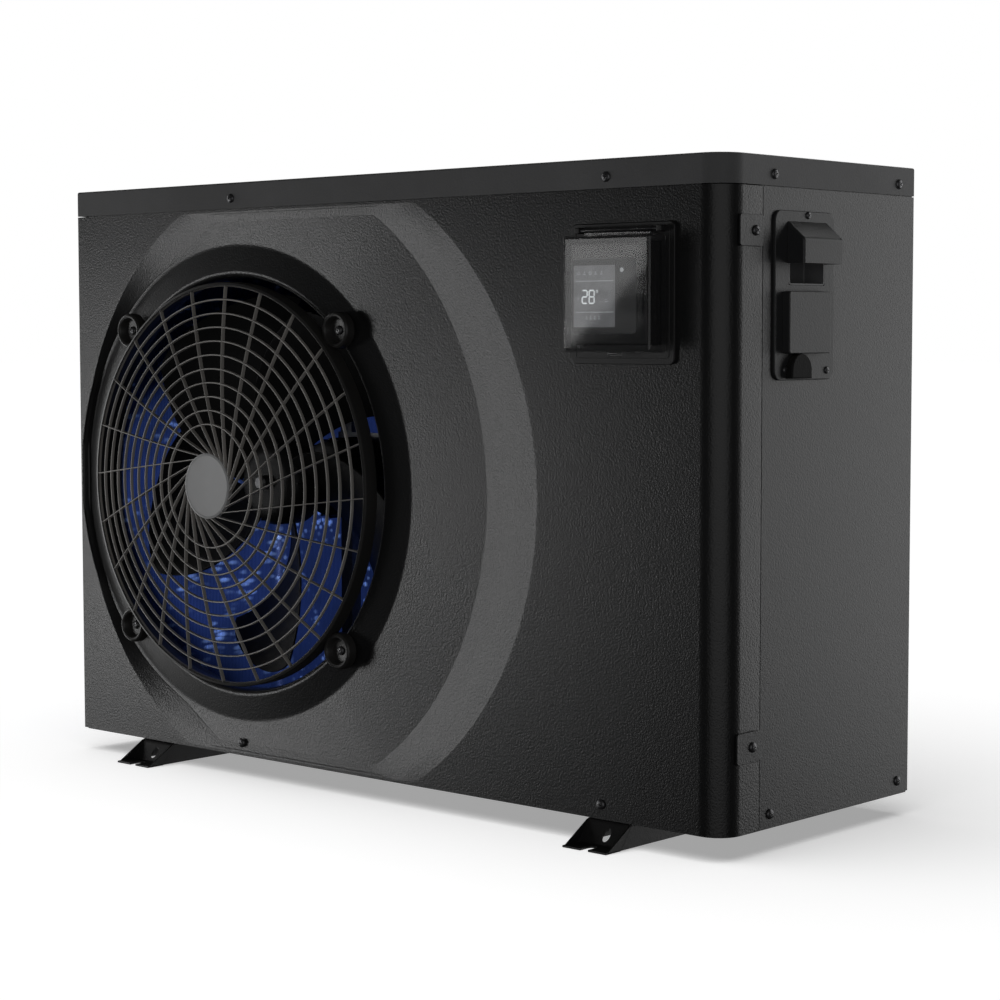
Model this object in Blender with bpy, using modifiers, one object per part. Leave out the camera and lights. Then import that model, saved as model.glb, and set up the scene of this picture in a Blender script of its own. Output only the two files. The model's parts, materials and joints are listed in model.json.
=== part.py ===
"""Pool heat pump: casing, fan, evaporator, compressor group, water circuit and controller.

The frame's origin is on the ground under the middle of the bounding box, with +X to the
right as seen from the front, +Y to the back and +Z up. Metres. Inside the script every
place is given from the casing's front lower left corner, and one empty there carries all.
"""

import math

import bmesh
import bpy
from mathutils import Matrix, Vector

# Casing
CASE_W = 0.936
CASE_D = 0.316
CASE_H = 0.630
LID_H = 0.028
FOOT_H = 0.023
SHEET = 0.0015
GAP = 0.0003
SEAM = 0.001
PANEL_LOW = 0.002
PANEL_TOP = CASE_H - LID_H - SEAM
CORNER_R = 0.028
CORNER_STEPS = 6
WRAP_END = 0.058
LEFT_RETURN = 0.020
POST = 0.022
PAN_FRONT = 0.0045
PAN_H = 0.024

# How far the grille, the water ports and the hand grip stand out of the casing
GRILLE_REACH = 0.043
PORT_REACH = 0.055
GRIP_REACH = 0.022

# Fan opening in the front panel
FAN_X = 0.272
FAN_Z = 0.301
RIM_R = 0.233
THROAT_R = 0.226
THROAT_D = 0.020
COLLAR_R = 0.262
DISH_DEPTH = 0.007
DISH_STEPS = 48

# Grille
HUB_R = 0.0356
RING_R = 0.217
BAND_R = 0.221
RING_Y = -0.018
BAND_BACK = -0.0015
RIBS = 8
RINGS = 4
RIB_W = 0.0035
WIRE_T = 0.0025
SWIRL = math.radians(50)
EAR_R = 0.020
EAR_PITCH = 0.238
EAR_T = 0.003

# Fan
BLADES = 5
ROTOR_HUB_R = 0.048
BLADE_TIP_R = 0.212
BLADE_Y = 0.066
BLADE_T = 0.0024
BLADE_SWEEP = math.radians(38)
SHAFT_R = 0.004
MOTOR_R = 0.046
MOTOR_Y = (0.130, 0.205)

# Inside
PARTITION_X = 0.645
COIL_T = 0.036
COIL_END_X = 0.616
REAR_SPLIT_X = 0.622
COIL_Y = 0.272
TANK = (0.845, 0.205)
TANK_R = 0.074
TANK_Z = (0.030, 0.440)
COMPRESSOR = (0.715, 0.100)
COMPRESSOR_R = 0.062
COMPRESSOR_Z = (0.020, 0.330)
ACCUMULATOR = (0.685, 0.245)
ACCUMULATOR_R = 0.030
ACCUMULATOR_Z = (0.050, 0.300)
VALVE_R = 0.014
VALVE_Z = 0.420
VALVE_Y = 0.200
PORT_R = 0.025
PORT_BORE_R = 0.019
PORTS_Z = (0.110, 0.360)
NUT_R = 0.036

# Controller
CTRL_X = 0.819
CTRL_Z = 0.503
CTRL_FRAME = 0.062
CTRL_BODY = (0.046, 0.048)
COVER_HALF = (0.053, 0.055)
COVER_WALL = 0.0018
COVER_FRONT = -0.028
HINGE_Y = -0.008
HINGE_Z = CTRL_Z + 0.0595
PIN_R = 0.0014
KNUCKLE_R = 0.0035

# Screws
HEAD_R = 0.005
HEAD_H = 0.0022
SHANK_R = 0.002
HOLE_R = 0.0026
SHANK_L = 0.008

# Axes: a turn that lays a piece's own Z along the named axis
TO_FRONT = (math.radians(90), 0.0, 0.0)
TO_BACK = (math.radians(-90), 0.0, 0.0)
TO_RIGHT = (0.0, math.radians(90), 0.0)

OBJECT_NAME = "heat_pump_unit"


def clear_scene():
    for obj in list(bpy.data.objects):
        bpy.data.objects.remove(obj)


def new_collection(name):
    made = bpy.data.collections.new(name)
    bpy.context.scene.collection.children.link(made)
    return made


clear_scene()
PARTS = new_collection(OBJECT_NAME)
CUTTERS = new_collection(OBJECT_NAME + "_cutters")


def new_empty(name, location, parent=None):
    empty = bpy.data.objects.new(name, None)
    PARTS.objects.link(empty)
    empty.location = location
    empty.parent = parent
    return empty


CASING = new_empty("casing_corner", (
    -(CASE_W + GRIP_REACH) / 2,
    -(CASE_D + GRILLE_REACH + PORT_REACH) / 2 + GRILLE_REACH,
    FOOT_H))


def finish(name, color, roughness, metallic=0.0):
    """A plain Principled material."""
    made = bpy.data.materials.new(name)
    made.use_nodes = True
    shader = made.node_tree.nodes["Principled BSDF"]
    shader.inputs["Base Color"].default_value = (*color, 1.0)
    shader.inputs["Roughness"].default_value = roughness
    shader.inputs["Metallic"].default_value = metallic
    return made


GREY_PAINT = (0.075, 0.077, 0.080)
BLACK = (0.010, 0.010, 0.012)
COPPER = (0.60, 0.28, 0.16)
STEEL = (0.50, 0.50, 0.50)


def place(obj, location=(0.0, 0.0, 0.0), rotation=(0.0, 0.0, 0.0), parent=CASING, hidden=False):
    (CUTTERS if hidden else PARTS).objects.link(obj)
    obj.location = location
    obj.rotation_euler = rotation
    obj.parent = parent
    if hidden:
        obj.hide_render = True
        obj.display_type = "WIRE"
    return obj


def mesh_object(name, bm, surface=None, **where):
    mesh = bpy.data.meshes.new(name)
    bm.to_mesh(mesh)
    bm.free()
    obj = bpy.data.objects.new(name, mesh)
    if surface:
        mesh.materials.append(surface)
    return place(obj, **where)


def add_modifier(obj, kind, **settings):
    made = obj.modifiers.new(kind.title(), kind)
    for key, value in settings.items():
        setattr(made, key, value)
    return made


def smooth(obj, angle=35):
    obj.data.shade_smooth()
    obj.data.set_sharp_from_angle(angle=math.radians(angle))
    return obj


def cube(bm, low, high):
    """Adds a box between two corners to a bmesh."""
    low = Vector(low)
    high = Vector(high)
    size = high - low
    matrix = Matrix.Translation((low + high) / 2) @ Matrix.Diagonal((*size, 1.0))
    bmesh.ops.create_cube(bm, size=1.0, matrix=matrix)


def box(name, low, high, surface=None, edge=0.0, parent=CASING, hidden=False):
    """A box between two corners, with its origin in its middle and rounded edges."""
    middle = (Vector(low) + Vector(high)) / 2
    bm = bmesh.new()
    cube(bm, Vector(low) - middle, Vector(high) - middle)
    obj = mesh_object(name, bm, surface, location=middle, parent=parent, hidden=hidden)
    if edge:
        add_modifier(obj, "BEVEL", width=edge, segments=2, limit_method="ANGLE")
    return obj


def open_box(name, low, high, open_side, surface, wall=SHEET, edge=0.0):
    """A box with one side missing, as a sheet whose outer faces are the given ones."""
    middle = (Vector(low) + Vector(high)) / 2
    bm = bmesh.new()
    cube(bm, Vector(low) - middle, Vector(high) - middle)
    lost = [face for face in bm.faces if face.normal.dot(Vector(open_side)) > 0.9]
    bmesh.ops.delete(bm, geom=lost, context="FACES")
    if edge:
        kept = [e for e in bm.edges if not e.is_boundary]
        bmesh.ops.bevel(bm, geom=kept, offset=edge, segments=2, profile=0.5, affect="EDGES")
    obj = mesh_object(name, bm, surface, location=middle)
    add_modifier(obj, "SOLIDIFY", thickness=wall, offset=-1.0, use_even_offset=True)
    return obj


def cylinder(name, centre, radius, length, surface=None, rotation=(0.0, 0.0, 0.0), sides=24,
             parent=CASING, hidden=False):
    """A cylinder along its own Z, with its origin in its middle."""
    bm = bmesh.new()
    bmesh.ops.create_cone(bm, cap_ends=True, segments=sides, radius1=radius, radius2=radius, depth=length)
    obj = mesh_object(name, bm, surface, location=centre, rotation=rotation, parent=parent, hidden=hidden)
    return smooth(obj)


def turned(name, profile, surface, centre, rotation=(0.0, 0.0, 0.0), sides=24, parent=CASING):
    """A turned shape about its own Z from (radius, height) points that run down the outside."""
    bm = bmesh.new()
    verts = [bm.verts.new((radius, 0.0, height)) for radius, height in profile]
    for first, second in zip(verts, verts[1:]):
        bm.edges.new((first, second))
    if profile[0][0] > 0.0 and profile[-1][0] > 0.0:
        bm.edges.new((verts[-1], verts[0]))
    obj = mesh_object(name, bm, surface, location=centre, rotation=rotation, parent=parent)
    add_modifier(obj, "SCREW", steps=sides, render_steps=sides, use_merge_vertices=True,
                 merge_threshold=0.00005, use_smooth_shade=False)
    return obj


def sheet_along(name, path, low, high, surface, wall=SHEET):
    """A bent sheet standing on an (x, y) path, whose outer face is on the path's right."""
    bm = bmesh.new()
    verts = [bm.verts.new((x, y, low)) for x, y in path]
    edges = [bm.edges.new(pair) for pair in zip(verts, verts[1:])]
    grown = bmesh.ops.extrude_edge_only(bm, edges=edges)["geom"]
    lifted = [item for item in grown if isinstance(item, bmesh.types.BMVert)]
    bmesh.ops.translate(bm, verts=lifted, vec=(0.0, 0.0, high - low))
    outward = Vector((path[1][1] - path[0][1], path[0][0] - path[1][0], 0.0))
    bm.normal_update()
    first = max(bm.faces, key=lambda face: abs(face.normal.dot(outward)))
    if first.normal.dot(outward) < 0.0:
        bmesh.ops.reverse_faces(bm, faces=bm.faces[:])
    obj = mesh_object(name, bm, surface)
    add_modifier(obj, "SOLIDIFY", thickness=wall, offset=-1.0, use_even_offset=True)
    return obj


def rounded_path(points, radius, steps=4):
    """The points of a bent tube: each inner corner becomes an arc."""
    points = [Vector(point) for point in points]
    path = [points[0]]
    for before, corner, after in zip(points, points[1:], points[2:]):
        start = corner + (before - corner).normalized() * radius
        end = corner + (after - corner).normalized() * radius
        for step in range(steps + 1):
            t = step / steps
            path.append(start * (1 - t) ** 2 + corner * 2 * t * (1 - t) + end * t ** 2)
    path.append(points[-1])
    return path


def tube(name, points, radius, surface, bend=0.018):
    """A bent pipe, as a bevelled curve with filled caps."""
    curve = bpy.data.curves.new(name, "CURVE")
    curve.dimensions = "3D"
    curve.bevel_depth = radius
    curve.bevel_resolution = 2
    curve.use_fill_caps = True
    curve.materials.append(surface)
    path = rounded_path(points, bend)
    spline = curve.splines.new("POLY")
    spline.points.add(len(path) - 1)
    for point, place_of in zip(spline.points, path):
        point.co = (*place_of, 1.0)
    return place(bpy.data.objects.new(name, curve))


def rounded_rectangle(half_w, half_h, radius, steps=4):
    """The outline of a rectangle with round corners, anticlockwise."""
    outline = []
    corners = ((1, 1, 0), (-1, 1, 90), (-1, -1, 180), (1, -1, 270))
    for side_x, side_y, start in corners:
        for step in range(steps + 1):
            angle = math.radians(start + 90 * step / steps)
            outline.append((side_x * (half_w - radius) + radius * math.cos(angle),
                            side_y * (half_h - radius) + radius * math.sin(angle)))
    return outline


def plate(name, outlines, thickness, surface, centre, rotation, parent=CASING, hidden=False):
    """A flat plate from closed outlines; an outline inside another is a hole."""
    curve = bpy.data.curves.new(name, "CURVE")
    curve.dimensions = "2D"
    curve.fill_mode = "BOTH"
    curve.extrude = thickness / 2
    if surface:
        curve.materials.append(surface)
    for outline in outlines:
        spline = curve.splines.new("POLY")
        spline.points.add(len(outline) - 1)
        spline.use_cyclic_u = True
        for point, (u, v) in zip(spline.points, outline):
            point.co = (u, v, 0.0, 1.0)
    obj = bpy.data.objects.new(name, curve)
    return place(obj, location=centre, rotation=rotation, parent=parent, hidden=hidden)


def as_mesh(obj):
    """Turns a curve object into a mesh object of the same name, welded."""
    bpy.context.view_layer.update()
    evaluated = obj.evaluated_get(bpy.context.evaluated_depsgraph_get())
    mesh = bpy.data.meshes.new_from_object(evaluated)
    bm = bmesh.new()
    bm.from_mesh(mesh)
    bmesh.ops.remove_doubles(bm, verts=bm.verts[:], dist=0.00001)
    bm.to_mesh(mesh)
    bm.free()
    name = obj.name
    matrix = obj.matrix_world.copy()
    home = obj.users_collection[0]
    hidden = obj.hide_render
    bpy.data.objects.remove(obj)
    made = bpy.data.objects.new(name, mesh)
    home.objects.link(made)
    made.matrix_world = matrix
    if hidden:
        made.hide_render = True
        made.display_type = "WIRE"
    return made


def combine(obj, other, operation="DIFFERENCE"):
    add_modifier(obj, "BOOLEAN", object=other, operation=operation, solver="EXACT")
    return obj


def drill(obj, name, places, axis, radius=HOLE_R, depth=0.012):
    """Cuts round holes through a sheet at casing places, along one axis."""
    bm = bmesh.new()
    turn = Vector((0.0, 0.0, 1.0)).rotation_difference(Vector(axis)).to_matrix().to_4x4()
    for centre in places:
        matrix = Matrix.Translation(centre) @ turn
        bmesh.ops.create_cone(bm, cap_ends=True, segments=12, radius1=radius, radius2=radius,
                              depth=depth, matrix=matrix)
    cutter = mesh_object(name + "_holes", bm, hidden=True)
    return combine(obj, cutter)


def screw(name, centre, rotation, surface, length=SHANK_L, parent=CASING):
    """A round-headed screw; its own Z points out of the sheet and starts on the sheet's face."""
    profile = [(0.0, HEAD_H + GAP), (HEAD_R * 0.6, HEAD_H * 0.9 + GAP), (HEAD_R, GAP + HEAD_H * 0.25),
               (HEAD_R, GAP), (SHANK_R, GAP), (SHANK_R, -length), (0.0, -length - SHANK_R)]
    return smooth(turned(name, profile, surface, centre, rotation, sides=12, parent=parent))


# ---------------------------------------------------------------- casing

PAINT = finish("grey_paint", GREY_PAINT, 0.45)
PAN_PAINT = finish("pan_paint", GREY_PAINT, 0.5)
PANEL_PAINT = finish("panel_paint", GREY_PAINT, 0.4)
SCREW_STEEL = finish("screw_steel", STEEL, 0.3, 1.0)

LID_SCREWS_FRONT = [(0.268, 0.0, 0.6128), (0.797, 0.0, 0.6128)]
LID_SCREWS_SIDE = [(CASE_W, 0.076, 0.6128), (CASE_W, 0.287, 0.6128)]
BASE_SCREWS_FRONT = [(0.278, 0.0, 0.0154), (0.792, 0.0, 0.0154)]
BASE_SCREWS_SIDE = [(CASE_W, 0.075, 0.0145), (CASE_W, 0.295, 0.0145)]


def tray(low, high, radius, lost_z):
    """A box with its front right upright edge rounded, and its top or its underside missing."""
    bm = bmesh.new()
    cube(bm, low, high)
    middle = (Vector(low) + Vector(high)) / 2
    corner = [e for e in bm.edges if all(v.co.x > middle.x and v.co.y < middle.y for v in e.verts)]
    bmesh.ops.bevel(bm, geom=corner, offset=radius, segments=CORNER_STEPS, profile=0.5, affect="EDGES")
    bm.normal_update()
    lost = [face for face in bm.faces if face.normal.z * lost_z > 0.9]
    bmesh.ops.delete(bm, geom=lost, context="FACES")
    return bm


def build_base_pan():
    """The pan stands inside the panels, clear of the dish that runs out above it."""
    inset = SHEET + GAP
    bm = tray((inset, PAN_FRONT, 0.0), (CASE_W - inset, CASE_D - inset, PAN_H), CORNER_R - PAN_FRONT + inset, 1)
    pan = mesh_object("base_pan", bm, PAN_PAINT)
    add_modifier(pan, "SOLIDIFY", thickness=0.0012, offset=-1.0, use_even_offset=True)
    drill(pan, "pan_front", BASE_SCREWS_FRONT, (0, 1, 0), depth=0.02)
    drill(pan, "pan_side", BASE_SCREWS_SIDE, (1, 0, 0))
    return pan


def build_lid():
    bm = tray((0.0, 0.0, CASE_H - LID_H), (CASE_W, CASE_D, CASE_H), CORNER_R, -1)
    rim = [e for e in bm.edges if all(v.co.z > CASE_H - 0.001 for v in e.verts)]
    bmesh.ops.bevel(bm, geom=rim, offset=0.002, segments=2, profile=0.5, affect="EDGES")
    lid = mesh_object("lid", bm, PAINT)
    add_modifier(lid, "SOLIDIFY", thickness=SHEET, offset=-1.0, use_even_offset=True)
    drill(lid, "lid_front", LID_SCREWS_FRONT, (0, 1, 0))
    drill(lid, "lid_side", LID_SCREWS_SIDE, (1, 0, 0))
    return smooth(lid)


def ray_to_circle(angle, centre_x, centre_z, radius):
    """The distance from the fan's centre to a circle around another centre, along an angle."""
    offset = Vector((FAN_X - centre_x, FAN_Z - centre_z))
    along = Vector((math.cos(angle), math.sin(angle)))
    b = offset.dot(along)
    return -b + math.sqrt(b * b - offset.length_squared + radius * radius)


def ray_to_panel(angle, inset):
    """The distance from the fan's centre to the panel's straight edges, along an angle."""
    along_x = math.cos(angle)
    along_z = math.sin(angle)
    reach_x = (CASE_W - CORNER_R - inset - FAN_X) if along_x > 0 else (FAN_X - inset)
    reach_z = (PANEL_TOP - inset - FAN_Z) if along_z > 0 else (FAN_Z - PANEL_LOW - inset)
    return min(reach_x / max(abs(along_x), 1e-9), reach_z / max(abs(along_z), 1e-9))


def dish_depth(z):
    """The dish is deepest at mid height and runs out to nothing at the panel's ends."""
    middle = (PANEL_TOP + PANEL_LOW) / 2
    t = (z - middle) / ((PANEL_TOP - PANEL_LOW) / 2)
    return DISH_DEPTH * (1.0 - t ** 4)


def panel_angles():
    """Even angles around the fan and those of the panel's four corners."""
    angles = [2 * math.pi * i / DISH_STEPS for i in range(DISH_STEPS)]
    for x in (0.0, CASE_W - CORNER_R):
        for z in (PANEL_LOW, PANEL_TOP):
            corner = math.atan2(z - FAN_Z, x - FAN_X) % (2 * math.pi)
            nearest = min(range(len(angles)), key=lambda i: abs(angles[i] - corner))
            angles[nearest] = corner
    return angles


def blended_outline(angle, left, right):
    """A rounded outline whose left half and right half are circles about different centres."""
    return ray_to_circle(angle, *(right if math.cos(angle) > 0 else left))


FLOOR_LEFT = (FAN_X, FAN_Z, COLLAR_R + 0.004)
FLOOR_RIGHT = (0.2936, 0.3024, 0.3456)
BRIM_LEFT = (0.3122, 0.3024, 0.3049)
BRIM_RIGHT = (0.3610, 0.3024, 0.3484)
EDGE_STEPS = (0.012, 0.006, 0.0)


def panel_rings(angle):
    """(distance from the fan's centre, depth share) of each ring, from the throat outwards."""
    limit = ray_to_panel(angle, EDGE_STEPS[0])
    floor = min(blended_outline(angle, FLOOR_LEFT, FLOOR_RIGHT), limit)
    brim = min(max(blended_outline(angle, BRIM_LEFT, BRIM_RIGHT), floor + 0.004),
               ray_to_panel(angle, EDGE_STEPS[1]))
    return [(RIM_R, 0.0), (COLLAR_R, 1.0), (max(floor, COLLAR_R + 0.003), 1.0),
            (max(brim, COLLAR_R + 0.008), 0.0), (ray_to_panel(angle, EDGE_STEPS[2]), 0.0)]


def build_front_panel():
    """A sheet lofted from the round throat through the collar and dish to the square edge."""
    bm = bmesh.new()
    columns = []
    for angle in panel_angles():
        along = Vector((math.cos(angle), 0.0, math.sin(angle)))
        centre = Vector((FAN_X, 0.0, FAN_Z))
        column = [bm.verts.new(centre + along * THROAT_R + Vector((0, THROAT_D, 0)))]
        column.append(bm.verts.new(centre + along * THROAT_R + Vector((0, 0.008, 0))))
        column.append(bm.verts.new(centre + along * (THROAT_R + 0.0025) + Vector((0, 0.001, 0))))
        for radius, share in panel_rings(angle):
            point = centre + along * radius
            point.y = share * dish_depth(point.z)
            column.append(bm.verts.new(point))
        columns.append(column)
    for here, after in zip(columns, columns[1:] + columns[:1]):
        for level in range(len(here) - 1):
            bm.faces.new((here[level], here[level + 1], after[level + 1], after[level]))
    right = CASE_W - CORNER_R
    edge = [e for e in bm.edges if all(abs(v.co.x - right) < 1e-5 for v in e.verts)]
    bmesh.ops.spin(bm, geom=edge + [v for v in bm.verts if abs(v.co.x - right) < 1e-5],
                   cent=(right, CORNER_R, 0.0), axis=(0, 0, 1), angle=math.radians(90), steps=CORNER_STEPS)
    for limit, step in ((CASE_W, (0.0, WRAP_END - CORNER_R, 0.0)), (0.0, (0.0, LEFT_RETURN, 0.0))):
        border = [e for e in bm.edges if all(abs(v.co.x - limit) < 1e-5 for v in e.verts)]
        grown = bmesh.ops.extrude_edge_only(bm, edges=border)["geom"]
        moved = [item for item in grown if isinstance(item, bmesh.types.BMVert)]
        bmesh.ops.translate(bm, verts=moved, vec=step)
    bmesh.ops.remove_doubles(bm, verts=bm.verts[:], dist=0.00001)
    bmesh.ops.recalc_face_normals(bm, faces=bm.faces[:])
    front = [f for f in bm.faces if f.calc_center_median().x > CASE_W - CORNER_R - 0.01
             and f.calc_center_median().y < 0.0005]
    if front[0].normal.y > 0:
        bmesh.ops.reverse_faces(bm, faces=bm.faces[:])
    panel = mesh_object("front_panel", bm, PANEL_PAINT)
    add_modifier(panel, "SOLIDIFY", thickness=SHEET, offset=-1.0, use_even_offset=True)
    ears = [(x, 0.0, z) for x, z in ear_places()]
    drill(panel, "panel_ears", ears, (0, 1, 0), depth=0.03)
    drill(panel, "panel_base", BASE_SCREWS_FRONT, (0, 1, 0))
    drill(panel, "panel_tabs", [place_of for _, place_of in TAB_SCREWS], (1, 0, 0))
    window = box("panel_window", (CTRL_X - CTRL_BODY[0] - 0.001, -0.01, CTRL_Z - CTRL_BODY[1] - 0.001),
                 (CTRL_X + CTRL_BODY[0] + 0.001, 0.01, CTRL_Z + CTRL_BODY[1] + 0.001), hidden=True)
    combine(panel, window)
    return smooth(panel, 25)


def build_service_panel():
    path = [(CASE_W, WRAP_END + 0.0006), (CASE_W, CASE_D), (CASE_W - 0.014, CASE_D)]
    panel = sheet_along("service_panel", path, PANEL_LOW, PANEL_TOP, PAINT)
    drill(panel, "service_base", BASE_SCREWS_SIDE, (1, 0, 0))
    pocket = box("service_pocket_cut", (CASE_W - 0.01, POCKET_Y[0] - GAP, POCKET_Z[0] - GAP),
                 (CASE_W + 0.01, POCKET_Y[1] + GAP, POCKET_Z[1] + GAP), hidden=True)
    combine(panel, pocket)
    drill(panel, "service_cable", [(CASE_W, *GROMMET)], (1, 0, 0), radius=0.0125)
    return panel


def build_rear_panel():
    panel = box("rear_panel", (REAR_SPLIT_X + SEAM, CASE_D - SHEET, PANEL_LOW),
                (CASE_W - 0.0145, CASE_D, PANEL_TOP), PAINT)
    ports = [(TANK[0], CASE_D, z) for z in PORTS_Z]
    return drill(panel, "rear_ports", ports, (0, 1, 0), radius=PORT_R + 0.002)


def bars(start, end, count, bar):
    """Grid lines of a row of openings: bar, opening, bar and so on from start to end."""
    opening = (end - start - (count + 1) * bar) / count
    lines = [start]
    for _ in range(count):
        lines += [lines[-1] + bar, lines[-1] + bar + opening]
    return lines + [end]


def lattice(lines_u, lines_v, to_place):
    """A sheet with openings in every odd column and row, put in place by a function."""
    bm = bmesh.new()
    last_u = len(lines_u) - 1
    last_v = len(lines_v) - 1
    bmesh.ops.create_grid(bm, x_segments=last_u, y_segments=last_v, size=0.5)

    def index(co):
        return round((co.x + 0.5) * last_u - 0.001), round((co.y + 0.5) * last_v - 0.001)

    holes = []
    for face in bm.faces:
        corner = min(face.verts, key=lambda v: v.co.x + v.co.y)
        i, j = index(corner.co)
        if i % 2 and j % 2:
            holes.append(face)
    places = [(v, index(v.co)) for v in bm.verts]
    bmesh.ops.delete(bm, geom=holes, context="FACES")
    for vert, (i, j) in places:
        if vert.is_valid:
            vert.co = to_place(lines_u[i], lines_v[j])
    return bm


def build_guards():
    """Wire guards over the coil, behind and on the left, and the post between them."""
    high = PANEL_TOP - 0.001
    rows = bars(PAN_H + SEAM, high, 6, 0.004)
    rear = lattice(bars(POST + SEAM, REAR_SPLIT_X, 7, 0.004), rows, lambda u, v: (u, CASE_D - 0.003, v))
    left = lattice(bars(LEFT_RETURN + SEAM, CASE_D - POST - SEAM, 3, 0.004), rows,
                   lambda u, v: (0.003, u, v))
    for name, bm in (("rear_guard", rear), ("left_guard", left)):
        guard = mesh_object(name, bm, finish(name + "_paint", GREY_PAINT, 0.5))
        add_modifier(guard, "SOLIDIFY", thickness=0.003, offset=0.0)
    path = [(POST, CASE_D), (0.0, CASE_D), (0.0, CASE_D - POST)]
    sheet_along("rear_left_post", path, PANEL_LOW, PANEL_TOP, finish("post_paint", GREY_PAINT, 0.5))


def build_partition():
    path = [(PARTITION_X + 0.014, 0.012), (PARTITION_X, 0.012), (PARTITION_X, 0.264),
            (COIL_END_X + 0.004, 0.264)]
    sheet_along("partition", path, 0.004, PANEL_TOP - 0.002, finish("galvanised", STEEL, 0.5, 0.8))


# ---------------------------------------------------------------- feet, tabs and screws

FEET = (("left_foot", 0.1315), ("right_foot", 0.800))
FOOT_W = 0.054
FOOT_T = 0.002
FOOT_OUT = 0.035
FOOT_TAB = 0.022
FOOT_SLOT = 0.005
TAB_SCREWS = (("upper_tab", (CASE_W, 0.044, 0.560)), ("lower_tab", (CASE_W, 0.044, 0.0822)))
TAB_Y = (0.020, 0.056)
TAB_HALF_H = 0.0145
TAB_T = 0.002


def build_feet():
    """Bent strips: an end tab on the ground, a ramp, a run under the pan, and the same behind."""
    under = -GAP - FOOT_H
    profile = [(-FOOT_OUT, -FOOT_H), (-FOOT_OUT + FOOT_TAB, -FOOT_H), (0.004, -GAP - FOOT_T),
               (CASE_D - 0.004, -GAP - FOOT_T), (CASE_D + FOOT_OUT - FOOT_TAB, -FOOT_H),
               (CASE_D + FOOT_OUT, -FOOT_H)]
    for name, x in FEET:
        bm = bmesh.new()
        verts = [bm.verts.new((x - FOOT_W / 2, y, z)) for y, z in profile]
        edges = [bm.edges.new(pair) for pair in zip(verts, verts[1:])]
        grown = bmesh.ops.extrude_edge_only(bm, edges=edges)["geom"]
        moved = [item for item in grown if isinstance(item, bmesh.types.BMVert)]
        bmesh.ops.translate(bm, verts=moved, vec=(FOOT_W, 0.0, 0.0))
        bmesh.ops.recalc_face_normals(bm, faces=bm.faces[:])
        bm.normal_update()
        bm.faces.ensure_lookup_table()
        if bm.faces[0].normal.z > 0:
            bmesh.ops.reverse_faces(bm, faces=bm.faces[:])
        foot = mesh_object(name, bm, finish(name + "_paint", GREY_PAINT, 0.5))
        add_modifier(foot, "SOLIDIFY", thickness=FOOT_T, offset=-1.0, use_even_offset=True)
        cutter = bmesh.new()
        for y in (-FOOT_OUT, CASE_D + FOOT_OUT):
            cube(cutter, (x - FOOT_SLOT, y - 0.013, under), (x + FOOT_SLOT, y + 0.013, under + 0.01))
        combine(foot, mesh_object(name + "_slots", cutter, hidden=True))


def build_tabs():
    for name, centre in TAB_SCREWS:
        tab = box(name, (CASE_W + GAP, TAB_Y[0], centre[2] - TAB_HALF_H),
                  (CASE_W + GAP + TAB_T, TAB_Y[1], centre[2] + TAB_HALF_H), PAINT)
        drill(tab, name, [centre], (1, 0, 0))
        screw(name + "_screw", (centre[0] + GAP + TAB_T, centre[1], centre[2]), TO_RIGHT, SCREW_STEEL)


def build_casing_screws():
    for name, places in (("lid_screw", LID_SCREWS_FRONT), ("base_screw", BASE_SCREWS_FRONT)):
        for number, centre in enumerate(places, 1):
            screw(name + "_" + str(number), centre, TO_FRONT, SCREW_STEEL)


# ---------------------------------------------------------------- grille and fan

def ear_places():
    """The four screw places of the grille, on the diagonals."""
    reach = EAR_PITCH * math.cos(math.radians(45))
    return [(FAN_X + i * reach, FAN_Z + k * reach) for i in (-1, 1) for k in (-1, 1)]


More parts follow.
